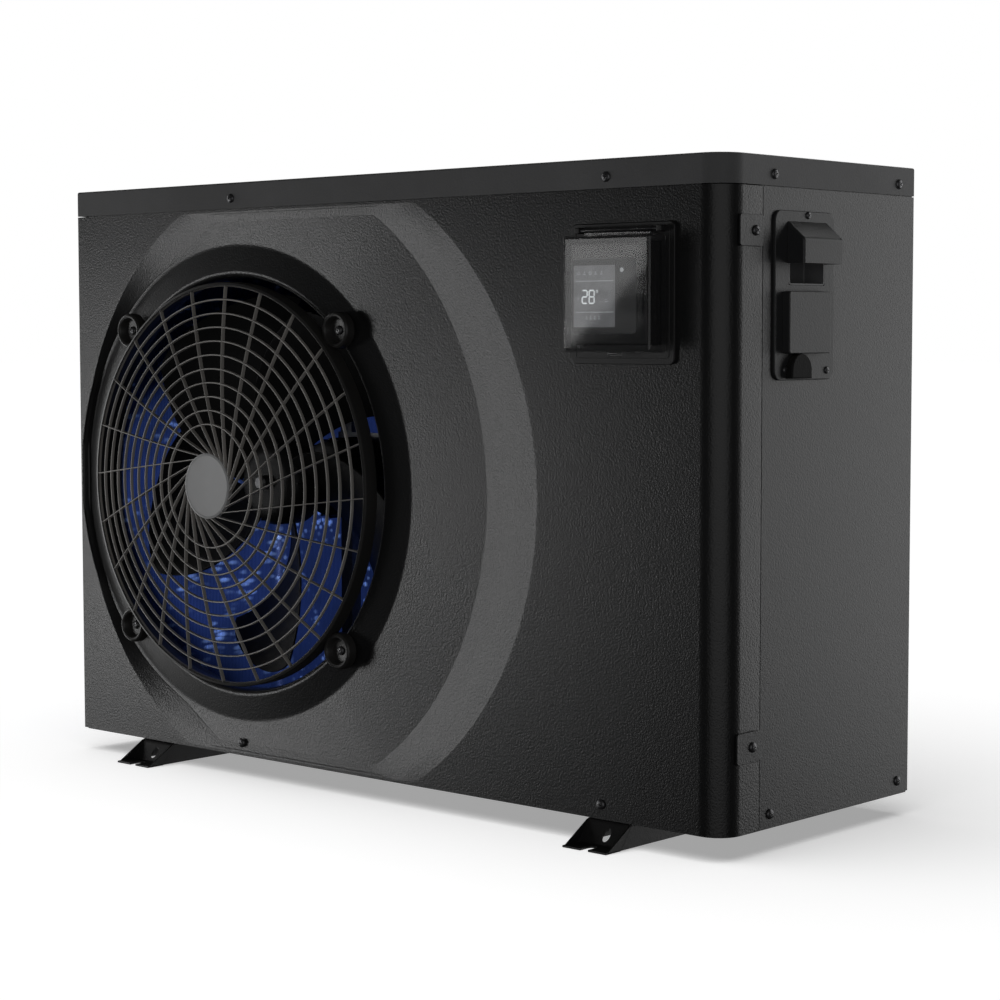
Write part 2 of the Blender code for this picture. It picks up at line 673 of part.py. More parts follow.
def build_grille():
    """A domed lattice of rings and swept ribs inside a band with four ears."""
    gaps = 3
    lines_r = bars(HUB_R - RIB_W, RING_R, RINGS, RIB_W)
    turn_per_rib = 2 * math.pi / RIBS

    def to_dome(column, radius):
        rib = int(column // (gaps + 1))
        step = column % (gaps + 1)
        share = RIB_W / radius / turn_per_rib
        angle = (rib + (0.0 if step < 0.5 else share + (1 - share) * (step - 1) / gaps)) * turn_per_rib
        angle -= SWIRL * (1.0 - (radius - HUB_R) / (RING_R - HUB_R)) ** 2
        rise = (GRILLE_REACH + RING_Y - WIRE_T) * (1.0 - (radius / RING_R) ** 2)
        return (radius * math.cos(angle), RING_Y - rise, radius * math.sin(angle))

    bm = bmesh.new()
    columns = RIBS * (gaps + 1)
    rows = len(lines_r) - 1
    bmesh.ops.create_grid(bm, x_segments=columns, y_segments=rows, size=0.5)
    holes = []
    for face in bm.faces:
        centre = face.calc_center_median()
        i = int((centre.x + 0.5) * columns)
        j = int((centre.y + 0.5) * rows)
        if i % (gaps + 1) and j % 2:
            holes.append(face)
    places = [(v, round((v.co.x + 0.5) * columns), round((v.co.y + 0.5) * rows)) for v in bm.verts]
    for vert, i, j in places:
        vert.co = to_dome(i, lines_r[j])
    bmesh.ops.delete(bm, geom=holes, context="FACES")
    bmesh.ops.remove_doubles(bm, verts=bm.verts[:], dist=0.00001)
    bmesh.ops.recalc_face_normals(bm, faces=bm.faces[:])
    grille = mesh_object("fan_grille", bm, finish("grille_plastic", (0.30, 0.29, 0.27), 0.5),
                         location=(FAN_X, 0.0, FAN_Z))
    add_modifier(grille, "SOLIDIFY", thickness=WIRE_T, offset=0.0)
    centre = (FAN_X, 0.0, FAN_Z)
    hub = turned("grille_hub", [(0.0, GRILLE_REACH), (HUB_R, GRILLE_REACH - 0.0005),
                                (HUB_R, GRILLE_REACH - 0.006), (0.0, GRILLE_REACH - 0.006)],
                 None, centre, TO_FRONT, sides=24)
    band = turned("grille_band", [(RING_R - 0.001, -RING_Y + 0.002), (BAND_R, -RING_Y + 0.001),
                                  (BAND_R, -BAND_BACK), (BAND_R - 0.0025, -BAND_BACK),
                                  (RING_R - 0.001, -RING_Y - 0.002)],
                  None, centre, TO_FRONT, sides=32)
    ears = bmesh.new()
    turn = Matrix.Rotation(math.radians(90), 4, "X")
    for x, z in ear_places():
        spot = Matrix.Translation((x, -GAP - EAR_T / 2 - 0.0005, z)) @ turn
        bmesh.ops.create_cone(ears, cap_ends=True, segments=16, radius1=EAR_R, radius2=EAR_R,
                              depth=EAR_T, matrix=spot)
    ear_object = mesh_object("grille_ears", ears, hidden=True)
    for helper in (hub, band):
        PARTS.objects.unlink(helper)
        CUTTERS.objects.link(helper)
        helper.hide_render = True
        helper.display_type = "WIRE"
    for piece in (hub, band, ear_object):
        combine(grille, piece, "UNION")
    drill(grille, "grille_ear", [(x, 0.0, z) for x, z in ear_places()], (0, 1, 0))
    face = -GAP - EAR_T - 0.0005
    for number, (x, z) in enumerate(ear_places(), 1):
        screw("grille_screw_" + str(number), (x, face, z), TO_FRONT, SCREW_STEEL, length=0.012)


FAN_AXIS = new_empty("fan_axis", (FAN_X, BLADE_Y, FAN_Z), CASING)


def build_fan():
    """Five broad swept blades on a cup-shaped hub, which drives clockwise as seen from the front."""
    hub_l = 0.044
    hub = [(0.0, hub_l / 2), (0.036, hub_l / 2), (ROTOR_HUB_R, hub_l / 2 - 0.012),
           (ROTOR_HUB_R, -hub_l / 2), (SHAFT_R + GAP, -hub_l / 2), (SHAFT_R + GAP, hub_l / 2 - 0.008),
           (0.0, hub_l / 2 - 0.008)]
    black = finish("fan_plastic", BLACK, 0.45)
    rotor = turned("fan_rotor", hub, black, (0, 0, 0), TO_FRONT, sides=24, parent=FAN_AXIS)
    blades = bmesh.new()
    stations = 4
    chord = 4
    for blade in range(BLADES):
        grid = bmesh.ops.create_grid(blades, x_segments=stations, y_segments=chord, size=0.5)["verts"]
        start = 2 * math.pi * blade / BLADES + math.radians(66)
        for vert in grid:
            out = vert.co.x + 0.5
            across = vert.co.y
            radius = ROTOR_HUB_R - 0.006 + out * (BLADE_TIP_R - ROTOR_HUB_R + 0.006)
            width = math.radians(58 - 4 * out)
            pitch = math.radians(40 - 18 * out)
            angle = start - BLADE_SWEEP * out + across * width
            depth = -across * width * radius * math.tan(pitch)
            vert.co = (radius * math.cos(angle), depth, radius * math.sin(angle))
    bmesh.ops.recalc_face_normals(blades, faces=blades.faces[:])
    blade_object = mesh_object("fan_blades", blades, parent=FAN_AXIS, hidden=True)
    add_modifier(blade_object, "SOLIDIFY", thickness=BLADE_T, offset=0.0)
    combine(rotor, blade_object, "UNION")
    nut = [(0.0, 0.010), (0.006, 0.010), (0.008, 0.007), (0.008, 0.0), (0.0, 0.0)]
    turned("fan_nut", nut, SCREW_STEEL, (0, -hub_l / 2 - GAP, 0), TO_FRONT, sides=12, parent=FAN_AXIS)
    shaft_front = -hub_l / 2 + 0.008 + GAP
    shaft_back = MOTOR_Y[0] - BLADE_Y - GAP
    cylinder("motor_shaft", (0, (shaft_front + shaft_back) / 2, 0), SHAFT_R, shaft_back - shaft_front,
             finish("shaft_steel", STEEL, 0.3, 1.0), TO_FRONT, sides=16, parent=FAN_AXIS)


def build_motor():
    length = MOTOR_Y[1] - MOTOR_Y[0]
    body = [(0.0, length / 2), (0.012, length / 2), (0.012, length / 2 - 0.006),
            (MOTOR_R - 0.006, length / 2 - 0.006), (MOTOR_R, length / 2 - 0.014),
            (MOTOR_R, -length / 2 + 0.006), (MOTOR_R - 0.006, -length / 2), (0.0, -length / 2)]
    middle = (FAN_X, sum(MOTOR_Y) / 2, FAN_Z)
    turned("fan_motor", body, finish("motor_black", BLACK, 0.5), middle, TO_FRONT, sides=28)
    back = MOTOR_Y[1] + GAP
    bm = bmesh.new()
    cube(bm, (FAN_X - 0.05, back, FAN_Z - 0.05), (FAN_X + 0.05, back + 0.003, FAN_Z + 0.05))
    face_plate = mesh_object("bracket_face", bm, hidden=True)
    rails = [(FAN_X + side * 0.038, back + 0.001, 0.004, 0.594) for side in (-1, 1)]
    x, y, low, high = rails[0]
    rail = box("motor_bracket", (x - 0.009, y, low), (x + 0.009, y + 0.014, high),
               finish("bracket_steel", STEEL, 0.5, 0.8))
    x, y, low, high = rails[1]
    other = box("bracket_rail", (x - 0.009, y, low), (x + 0.009, y + 0.014, high), hidden=True)
    combine(rail, face_plate, "UNION")
    combine(rail, other, "UNION")


def build_coil():
    """The finned coil stands along the back and turns forward along the left side."""
    low = 0.004
    high = 0.594
    left = 0.008
    back = COIL_Y + COIL_T
    outer_r = 0.05
    inner_r = outer_r - COIL_T
    outline = [(COIL_END_X, COIL_Y)]
    for step in range(4):
        angle = math.radians(90 + 90 * step / 3)
        outline.append((left + COIL_T + inner_r + inner_r * math.cos(angle),
                        COIL_Y - inner_r + inner_r * math.sin(angle)))
    outline += [(left + COIL_T, 0.030), (left, 0.030)]
    for step in range(6):
        angle = math.radians(180 - 90 * step / 5)
        outline.append((left + outer_r + outer_r * math.cos(angle), back - outer_r + outer_r * math.sin(angle)))
    outline.append((COIL_END_X, back))
    coil = plate("evaporator_coil", [outline], high - low, finish("blue_fins", (0.02, 0.06, 0.30), 0.35, 0.6),
                 (0, 0, (low + high) / 2), (0, 0, 0))
    as_mesh(coil)


# ---------------------------------------------------------------- compressor side

def vessel(name, centre, radius, low, high, surface, dome, sides=20):
    """A standing vessel with domed ends."""
    half = (high - low) / 2
    profile = [(0.0, half)]
    for step in range(1, 4):
        angle = math.radians(30 * step)
        profile.append((radius * math.sin(angle), half - dome + dome * math.cos(angle)))
    profile += [(r, -h) for r, h in reversed(profile)]
    place_of = (centre[0], centre[1], (low + high) / 2)
    return smooth(turned(name, profile, surface, place_of, sides=sides))


def build_compressor_side():
    black = finish("vessel_black", BLACK, 0.4)
    copper = finish("copper_pipe", COPPER, 0.35, 1.0)
    vessel("compressor", COMPRESSOR, COMPRESSOR_R, *COMPRESSOR_Z, black, 0.030)
    vessel("accumulator", ACCUMULATOR, ACCUMULATOR_R, *ACCUMULATOR_Z, finish("accumulator_black", BLACK, 0.4),
           0.020, sides=16)
    vessel("heat_exchanger", TANK, TANK_R, *TANK_Z, finish("tank_plastic", (0.06, 0.06, 0.065), 0.5), 0.022)
    valve_x = (0.675, 0.765)
    cylinder("four_way_valve", (sum(valve_x) / 2, VALVE_Y, VALVE_Z), VALVE_R, valve_x[1] - valve_x[0],
             finish("valve_brass", (0.65, 0.45, 0.18), 0.35, 1.0), TO_RIGHT, sides=16)
    top = COMPRESSOR_Z[1] + GAP
    under_valve = VALVE_Z - VALVE_R - GAP
    over_valve = VALVE_Z + VALVE_R + GAP
    tube("discharge_pipe", [(COMPRESSOR[0], COMPRESSOR[1], top), (COMPRESSOR[0], COMPRESSOR[1], 0.372),
                            (COMPRESSOR[0], VALVE_Y, 0.372), (COMPRESSOR[0], VALVE_Y, under_valve)],
         0.005, copper, 0.015)
    suction_top = ACCUMULATOR_Z[1] + GAP
    tube("suction_pipe", [(*ACCUMULATOR, suction_top), (*ACCUMULATOR, 0.345), (ACCUMULATOR[0], VALVE_Y, 0.345),
                          (ACCUMULATOR[0], VALVE_Y, under_valve)],
         0.006, finish("suction_copper", COPPER, 0.35, 1.0), 0.018)
    tube("condenser_pipe", [(0.745, VALVE_Y, over_valve), (0.745, VALVE_Y, 0.475), (TANK[0], VALVE_Y, 0.475),
                            (TANK[0], VALVE_Y, TANK_Z[1] + GAP)],
         0.005, finish("condenser_copper", COPPER, 0.35, 1.0))
    coil_mid = COIL_Y + COIL_T / 2
    coil_face = COIL_END_X + GAP
    tube("evaporator_pipe", [(0.690, VALVE_Y, over_valve), (0.690, VALVE_Y, 0.50), (0.690, coil_mid, 0.50),
                             (coil_face, coil_mid, 0.50)],
         0.005, finish("evaporator_copper", COPPER, 0.35, 1.0))
    liquid_x = 0.705
    valve_low = 0.185
    valve_high = 0.215
    cylinder("expansion_valve", (liquid_x, coil_mid, (valve_low + valve_high) / 2), 0.010,
             valve_high - valve_low, finish("expansion_brass", (0.65, 0.45, 0.18), 0.35, 1.0), sides=16)
    tube("coil_liquid_pipe", [(coil_face, coil_mid, 0.10), (liquid_x, coil_mid, 0.10),
                              (liquid_x, coil_mid, valve_low - GAP)],
         0.004, finish("coil_copper", COPPER, 0.35, 1.0))
    near_tank = 0.7615
    tube("tank_liquid_pipe", [(liquid_x, coil_mid, valve_high + GAP), (liquid_x, coil_mid, 0.25),
                              (near_tank, coil_mid, 0.25), (near_tank, TANK[1], 0.25),
                              (TANK[0] - TANK_R - GAP, TANK[1], 0.25)],
         0.004, finish("liquid_copper", COPPER, 0.35, 1.0), 0.0045)


def build_electrics():
    low = (0.665, 0.030, 0.400)
    high = (0.905, 0.100, 0.590)
    open_box("electrical_box", low, high, (0, -1, 0), finish("box_steel", STEEL, 0.5, 0.8))
    box("electrical_cover", (low[0], low[1] - GAP - SHEET, low[2]), (high[0], low[1] - GAP, high[2]),
        finish("cover_steel", STEEL, 0.5, 0.8))
    back = high[1] - SHEET - GAP
    box("circuit_board", (low[0] + 0.012, back - 0.004, low[2] + 0.012),
        (low[0] + 0.170, back, high[2] - 0.012), finish("board_green", (0.02, 0.12, 0.05), 0.5))
    cylinder("run_capacitor", (high[0] - 0.036, 0.066, 0.480), 0.020, 0.090,
             finish("capacitor_white", (0.6, 0.6, 0.6), 0.4), sides=20)


def build_water_side():
    """Ports through the rear panel and the union nuts that turn on them."""
    inner = TANK[1] + TANK_R + 2 * GAP
    outer = CASE_D + PORT_REACH
    length = outer - inner
    plastic = finish("port_plastic", (0.05, 0.05, 0.055), 0.45)
    nut_plastic = finish("union_plastic", (0.04, 0.04, 0.045), 0.4)
    stop = length / 2 - 0.010
    profile = [(PORT_BORE_R, length / 2), (PORT_R, length / 2), (PORT_R, -length / 2 + 0.006),
               (PORT_R + 0.006, -length / 2 + 0.006), (PORT_R + 0.006, -length / 2), (0.0, -length / 2),
               (0.0, -length / 2 + 0.004), (PORT_BORE_R, -length / 2 + 0.004)]
    nut_l = 0.030
    nut = [(PORT_R + GAP, nut_l / 2), (NUT_R - 0.003, nut_l / 2), (NUT_R, nut_l / 2 - 0.003),
           (NUT_R, -nut_l / 2 + 0.003), (NUT_R - 0.003, -nut_l / 2), (PORT_R + GAP, -nut_l / 2)]
    for name, z in (("inlet", PORTS_Z[0]), ("outlet", PORTS_Z[1])):
        port = closed_turn(name + "_port", profile, plastic, (TANK[0], (inner + outer) / 2, z))
        smooth(port)
        middle = (inner + outer) / 2 + stop - nut_l / 2
        axis = new_empty(name + "_union_axis", (TANK[0], middle, z), CASING)
        turned(name + "_union_nut", nut, nut_plastic, (0, 0, 0), TO_BACK, sides=24, parent=axis)


def closed_turn(name, profile, surface, centre):
    """A turned cup: its profile starts and ends at the bore's wall and passes through the axis."""
    bm = bmesh.new()
    verts = [bm.verts.new((radius, 0.0, height)) for radius, height in profile]
    split = [i for i, (radius, _) in enumerate(profile) if radius == 0.0]
    for i in range(len(verts)):
        if i != split[0]:
            bm.edges.new((verts[i], verts[(i + 1) % len(verts)]))
    obj = mesh_object(name, bm, surface, location=centre, rotation=TO_BACK)
    add_modifier(obj, "SCREW", steps=24, render_steps=24, use_merge_vertices=True,
                 merge_threshold=0.00005, use_smooth_shade=False)
    return obj


# ---------------------------------------------------------------- controller

COVER_AXIS = new_empty("cover_hinge", (CTRL_X, HINGE_Y, HINGE_Z), CASING)


def build_controller():
    frame_t = 0.003
    outer = rounded_rectangle(CTRL_FRAME, CTRL_FRAME + 0.004, 0.006)
    inner = rounded_rectangle(CTRL_BODY[0] + 0.001, CTRL_BODY[1] + 0.001, 0.002)
    frame = plate("controller_frame", [outer, inner], frame_t, finish("frame_plastic", BLACK, 0.5),
                  (CTRL_X, -GAP - frame_t / 2, CTRL_Z), TO_FRONT)
    frame = as_mesh(frame)
    ears = bmesh.new()
    pin_half = 0.046
    for side in (-1, 1):
        near = CTRL_X + side * (pin_half + GAP)
        far = CTRL_X + side * (pin_half + 0.006)
        cube(ears, (min(near, far), HINGE_Y - 0.003, HINGE_Z - 0.003),
             (max(near, far), -GAP - 0.001, HINGE_Z + 0.003))
    combine(frame, mesh_object("frame_ears", ears, hidden=True), "UNION")
    cylinder("cover_hinge_pin", (CTRL_X, HINGE_Y, HINGE_Z), PIN_R, 2 * pin_half,
             finish("pin_steel", STEEL, 0.3, 1.0), TO_RIGHT, sides=12)
    front = -0.0240
    box("controller_body", (CTRL_X - CTRL_BODY[0], front, CTRL_Z - CTRL_BODY[1]),
        (CTRL_X + CTRL_BODY[0], 0.012, CTRL_Z + CTRL_BODY[1]), finish("body_plastic", BLACK, 0.35), 0.002)
    box("display_glass", (CTRL_X - 0.042, front - GAP - 0.0012, CTRL_Z - 0.044),
        (CTRL_X + 0.042, front - GAP, CTRL_Z + 0.044), finish("screen_glass", (0.06, 0.065, 0.07), 0.1))
    build_weather_cover(frame_t)


def build_weather_cover(frame_t):
    """A clear box over the screen, hung on a barrel along its top edge."""
    low = Vector((-COVER_HALF[0], COVER_FRONT, CTRL_Z - COVER_HALF[1])) - Vector((0, HINGE_Y, HINGE_Z))
    high = Vector((COVER_HALF[0], -GAP - frame_t - GAP, CTRL_Z + COVER_HALF[1])) - Vector((0, HINGE_Y, HINGE_Z))
    bm = bmesh.new()
    cube(bm, low, high)
    lost = [face for face in bm.faces if face.normal.y > 0.9]
    bmesh.ops.delete(bm, geom=lost, context="FACES")
    kept = [e for e in bm.edges if not e.is_boundary]
    bmesh.ops.bevel(bm, geom=kept, offset=0.004, segments=2, profile=0.5, affect="EDGES")
    cover = mesh_object("controller_cover", bm, finish("smoked_clear", (0.10, 0.10, 0.11), 0.08),
                        parent=COVER_AXIS)
    add_modifier(cover, "SOLIDIFY", thickness=COVER_WALL, offset=-1.0, use_even_offset=True)
    barrel_half = 0.040
    barrel = cylinder("cover_barrel", (0, 0, 0), KNUCKLE_R, 2 * barrel_half, None, TO_RIGHT, sides=16,
                      parent=COVER_AXIS, hidden=True)
    web = box("cover_web", (-barrel_half, -0.0035, high.z - 0.0012), (barrel_half, -0.0010, -0.0020),
              parent=COVER_AXIS, hidden=True)
    latch = box("cover_latch", (-0.008, low.y + 0.012, low.z - 0.004), (0.008, low.y + 0.016, low.z + 0.001),
                parent=COVER_AXIS, hidden=True)
    bore = cylinder("cover_bore", (0, 0, 0), PIN_R + GAP, 2 * barrel_half + 0.01, None, TO_RIGHT, sides=12,
                    parent=COVER_AXIS, hidden=True)
    for piece in (barrel, web, latch):
        combine(cover, piece, "UNION")
    combine(cover, bore)


# ---------------------------------------------------------------- carry handle and wiring

PLATE_Y = (0.074, 0.171)
PLATE_Z = (0.422, 0.580)
PLATE_T = 0.0025
POCKET_Y = (0.096, 0.154)
POCKET_Z = (0.511, 0.560)
POCKET_D = 0.024
GRIP_Y = (0.093, 0.158)
GRIP_Z = (0.531, 0.570)
WIRING_Y = (0.086, 0.154)
WIRING_Z = (0.447, 0.505)
WIRING_T = 0.008
GROMMET = (0.106, 0.434)


def build_handle():
    face = CASE_W + GAP
    middle_y = sum(PLATE_Y) / 2
    middle_z = sum(PLATE_Z) / 2
    lying = (math.radians(90), 0.0, math.radians(90))
    outer = rounded_rectangle((PLATE_Y[1] - PLATE_Y[0]) / 2, (PLATE_Z[1] - PLATE_Z[0]) / 2, 0.008)
    half_y = (POCKET_Y[1] - POCKET_Y[0]) / 2
    half_z = (POCKET_Z[1] - POCKET_Z[0]) / 2
    shift_y = sum(POCKET_Y) / 2 - middle_y
    shift_z = sum(POCKET_Z) / 2 - middle_z
    hole = [(u + shift_y, v + shift_z) for u, v in rounded_rectangle(half_y + GAP, half_z + GAP, 0.003)]
    cable = [(GROMMET[0] - middle_y + 0.0085 * math.cos(math.radians(a)),
              GROMMET[1] - middle_z + 0.0085 * math.sin(math.radians(a))) for a in range(0, 360, 30)]
    surface = finish("handle_plastic", GREY_PAINT, 0.45)
    plate("handle_plate", [outer, hole, cable], PLATE_T, surface, (face + PLATE_T / 2, middle_y, middle_z), lying)
    open_box("finger_pocket", (face + PLATE_T - POCKET_D, POCKET_Y[0], POCKET_Z[0]),
             (face + PLATE_T, POCKET_Y[1], POCKET_Z[1]), (1, 0, 0), finish("pocket_plastic", GREY_PAINT, 0.5),
             edge=0.003)
    build_grip(face + PLATE_T + GAP)
    box("wiring_cover", (face + PLATE_T + GAP, WIRING_Y[0], WIRING_Z[0]),
        (face + PLATE_T + GAP + WIRING_T, WIRING_Y[1], WIRING_Z[1]), finish("wiring_plastic", GREY_PAINT, 0.45),
        0.0015)
    grommet = [(0.0045, 0.009), (0.007, 0.009), (0.008, PLATE_T + GAP), (0.008, -0.012), (0.0045, -0.012)]
    turned("cable_grommet", grommet, finish("grommet_rubber", BLACK, 0.8), (face, *GROMMET), TO_RIGHT, sides=20)


def build_grip(face):
    """A hood open below and behind, with a sloping top, that the fingers reach up into."""
    out = CASE_W + GRIP_REACH
    bm = bmesh.new()
    profile = [(face, GRIP_Z[0]), (out, GRIP_Z[0]), (out, GRIP_Z[1] - 0.016), (face, GRIP_Z[1])]
    verts = [bm.verts.new((x, GRIP_Y[0], z)) for x, z in profile]
    edges = [bm.edges.new(pair) for pair in zip(verts[1:], verts[2:])]
    grown = bmesh.ops.extrude_edge_only(bm, edges=edges)["geom"]
    moved = [item for item in grown if isinstance(item, bmesh.types.BMVert)]
    bmesh.ops.translate(bm, verts=moved, vec=(0.0, GRIP_Y[1] - GRIP_Y[0], 0.0))
    bm.faces.new(verts)
    bmesh.ops.mirror(bm, geom=bm.verts[:] + bm.edges[:] + [f for f in bm.faces if len(f.verts) == 4
                                                           and abs(f.calc_center_median().y - GRIP_Y[0]) < 1e-6],
                     matrix=Matrix.Translation((0, -sum(GRIP_Y) / 2, 0)), merge_dist=0.00001, axis="Y")
    bmesh.ops.remove_doubles(bm, verts=bm.verts[:], dist=0.00001)
    bmesh.ops.recalc_face_normals(bm, faces=bm.faces[:])
    grip = mesh_object("handle_grip", bm, finish("grip_plastic", GREY_PAINT, 0.45))
    add_modifier(grip, "SOLIDIFY", thickness=0.0025, offset=-1.0, use_even_offset=True)
    behind = box("grip_back_cut", (face - 0.01, GRIP_Y[0] - 0.01, GRIP_Z[0] - 0.01),
                 (face, GRIP_Y[1] + 0.01, GRIP_Z[1] + 0.01), hidden=True)
    return combine(grip, behind)


build_base_pan()
build_lid()
build_front_panel()
build_service_panel()
build_rear_panel()
build_guards()
build_partition()
build_feet()
build_tabs()
build_casing_screws()
build_grille()
build_fan()
build_motor()
build_coil()
build_compressor_side()
build_electrics()
build_water_side()
build_controller()
build_handle()
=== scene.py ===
import json
import logging
import math
from collections.abc import Callable, Iterator, Sequence
from contextlib import contextmanager
from dataclasses import dataclass
from enum import Enum

import bmesh
import bpy
from mathutils import Matrix, Vector


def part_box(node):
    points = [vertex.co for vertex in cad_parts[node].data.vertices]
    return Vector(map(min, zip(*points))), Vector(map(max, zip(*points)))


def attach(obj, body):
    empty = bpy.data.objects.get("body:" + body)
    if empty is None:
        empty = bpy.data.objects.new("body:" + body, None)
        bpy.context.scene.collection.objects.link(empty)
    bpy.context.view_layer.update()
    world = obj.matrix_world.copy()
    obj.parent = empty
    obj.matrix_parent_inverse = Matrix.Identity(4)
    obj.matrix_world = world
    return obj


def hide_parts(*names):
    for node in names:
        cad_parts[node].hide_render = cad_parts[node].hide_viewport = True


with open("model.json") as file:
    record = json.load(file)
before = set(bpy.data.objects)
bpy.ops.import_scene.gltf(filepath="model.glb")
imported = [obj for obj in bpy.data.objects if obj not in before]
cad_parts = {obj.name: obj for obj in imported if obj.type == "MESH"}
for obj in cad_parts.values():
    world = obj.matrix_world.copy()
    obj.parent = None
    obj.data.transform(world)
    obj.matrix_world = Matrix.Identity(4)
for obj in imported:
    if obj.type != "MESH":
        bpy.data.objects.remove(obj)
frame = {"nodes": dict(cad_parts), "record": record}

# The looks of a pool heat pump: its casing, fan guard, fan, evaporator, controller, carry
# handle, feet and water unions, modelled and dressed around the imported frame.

LOG = logging.getLogger("heat_pump")
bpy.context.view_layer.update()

Point = tuple[float, float]
Colour = tuple[float, float, float]
Mesh = bpy.types.Object
Test = Callable[[Vector, Vector], bool]


# ---------------------------------------------------------------- bench: modelling by hand

class Pick(Enum):
    """What a selection in edit mode is made of."""

    VERTS = "VERT"
    EDGES = "EDGE"
    FACES = "FACE"


class Facing(Enum):
    """The turn that lays a piece's own Z along one of the casing's directions."""

    UP = (0.0, "X")
    FRONT = (90.0, "X")
    BACK = (-90.0, "X")
    RIGHT = (90.0, "Y")

    def matrix(self) -> Matrix:
        """The turn as a matrix."""
        return Matrix.Rotation(math.radians(self.value[0]), 4, self.value[1])


def activate(piece: Mesh) -> None:
    """Makes one piece the only selected and the active one."""
    bpy.ops.object.select_all(action="DESELECT")
    piece.select_set(True)
    bpy.context.view_layer.objects.active = piece


@contextmanager
def editing(piece: Mesh) -> Iterator[None]:
    """Opens a piece in edit mode with nothing selected, and closes it afterwards.

    Args:
        piece: The mesh to work on.
    """
    activate(piece)
    bpy.ops.object.mode_set(mode="EDIT")
    bpy.ops.mesh.select_all(action="DESELECT")
    yield
    bpy.ops.object.mode_set(mode="OBJECT")


def pick(piece: Mesh, kind: Pick, test: Test) -> None:
    """Selects what passes a test, in edit mode.

    Args:
        piece: The mesh in edit mode.
        kind: Vertices, edges or faces.
        test: Takes an element's middle, and its normal or an edge's direction.
    """
    bpy.ops.mesh.select_mode(type=kind.value)
    bpy.ops.mesh.select_all(action="DESELECT")
    mesh = bmesh.from_edit_mesh(piece.data)
    mesh.normal_update()
    if kind is Pick.VERTS:
        for vert in mesh.verts:
            vert.select_set(test(vert.co, vert.normal))
    elif kind is Pick.EDGES:
        for edge in mesh.edges:
            first, last = (vert.co for vert in edge.verts)
            edge.select_set(test((first + last) / 2, (last - first).normalized()))
    else:
        for face in mesh.faces:
            face.select_set(test(face.calc_center_median(), face.normal))
    mesh.select_flush_mode()
    bmesh.update_edit_mesh(piece.data)


def modify(piece: Mesh, kind: str, **settings: object) -> Mesh:
    """Adds a modifier to a piece and applies it.

    Args:
        piece: The mesh to change.
        kind: The modifier's type.
        settings: The modifier's properties.

    Returns:
        The same piece.
    """
    activate(piece)
    added = piece.modifiers.new(kind.title(), kind)
    for key, value in settings.items():
        setattr(added, key, value)
    bpy.ops.object.modifier_apply(modifier=added.name)
    return piece


def soften(piece: Mesh, width: float, segments: int = 3, angle: float = 35.0) -> Mesh:
    """Rounds a piece's sharp edges.

    Args:
        piece: The mesh to change.
        width: The rounding's width.
        segments: Its number of steps.
        angle: The sharpest bend, in degrees, that stays as it is.

    Returns:
        The same piece.
    """
    return modify(piece, "BEVEL", width=width, segments=segments, limit_method="ANGLE",
                  angle_limit=math.radians(angle), use_clamp_overlap=True)


def block(low: Sequence[float], high: Sequence[float]) -> Mesh:
    """A cuboid between two corners, to be shaped further.

    Args:
        low: The lowest corner.
        high: The highest corner.

    Returns:
        The mesh, with its place in its vertices.
    """
    low, high = Vector(low), Vector(high)
    bpy.ops.object.select_all(action="DESELECT")
    bpy.ops.mesh.primitive_cube_add(size=1.0, location=(low + high) / 2, scale=high - low)
    bpy.ops.object.transform_apply(location=True, rotation=True, scale=True)
    return bpy.context.object


def rounded_block(low: Sequence[float], high: Sequence[float], width: float,
                  segments: int = 3) -> Mesh:
    """A cuboid with all its edges rounded."""
    return soften(block(low, high), width, segments)


def pick_folds(piece: Mesh) -> None:
    """Selects the edges that two faces share, in edit mode."""
    mesh = bmesh.from_edit_mesh(piece.data)
    for edge in mesh.edges:
        edge.select_set(len(edge.link_faces) == 2)
    bmesh.update_edit_mesh(piece.data)


def put_ring(piece: Mesh, ring: Sequence[Vector]) -> None:
    """Moves the selected ring of vertices to its places, column by column."""
    mesh = bmesh.from_edit_mesh(piece.data)
    column = mesh.verts.layers.int["column"]
    for vert in mesh.verts:
        if vert.select:
            vert.co = ring[vert[column]]
    bmesh.update_edit_mesh(piece.data)


def loft(rings: Sequence[Sequence[Vector]], filled: bool = False, closed: bool = False) -> Mesh:
    """A skin drawn ring by ring: a circle is extruded, and each new ring is put in its place.

    Args:
        rings: The rings, all with the same number of points.
        filled: Whether the first and last ring are capped.
        closed: Whether the last ring joins the first.

    Returns:
        The mesh.
    """
    bpy.ops.object.select_all(action="DESELECT")
    fill = "NGON" if filled else "NOTHING"
    bpy.ops.mesh.primitive_circle_add(vertices=len(rings[0]), radius=1.0, fill_type=fill)
    piece = bpy.context.object
    with editing(piece):
        bpy.ops.mesh.select_mode(type="VERT")
        bpy.ops.mesh.select_all(action="SELECT")
        mesh = bmesh.from_edit_mesh(piece.data)
        column = mesh.verts.layers.int.new("column")
        for index, vert in enumerate(mesh.verts):
            vert[column] = index
        put_ring(piece, rings[0])
        for ring in [*rings[1:], rings[0]] if closed else rings[1:]:
            bpy.ops.mesh.extrude_region_move()
            put_ring(piece, ring)
        bpy.ops.mesh.select_all(action="SELECT")
        bpy.ops.mesh.remove_doubles(threshold=1e-6)
        bpy.ops.mesh.select_all(action="SELECT")
        bpy.ops.mesh.normals_make_consistent(inside=False)
    piece.data.attributes.remove(piece.data.attributes["column"])
    return piece


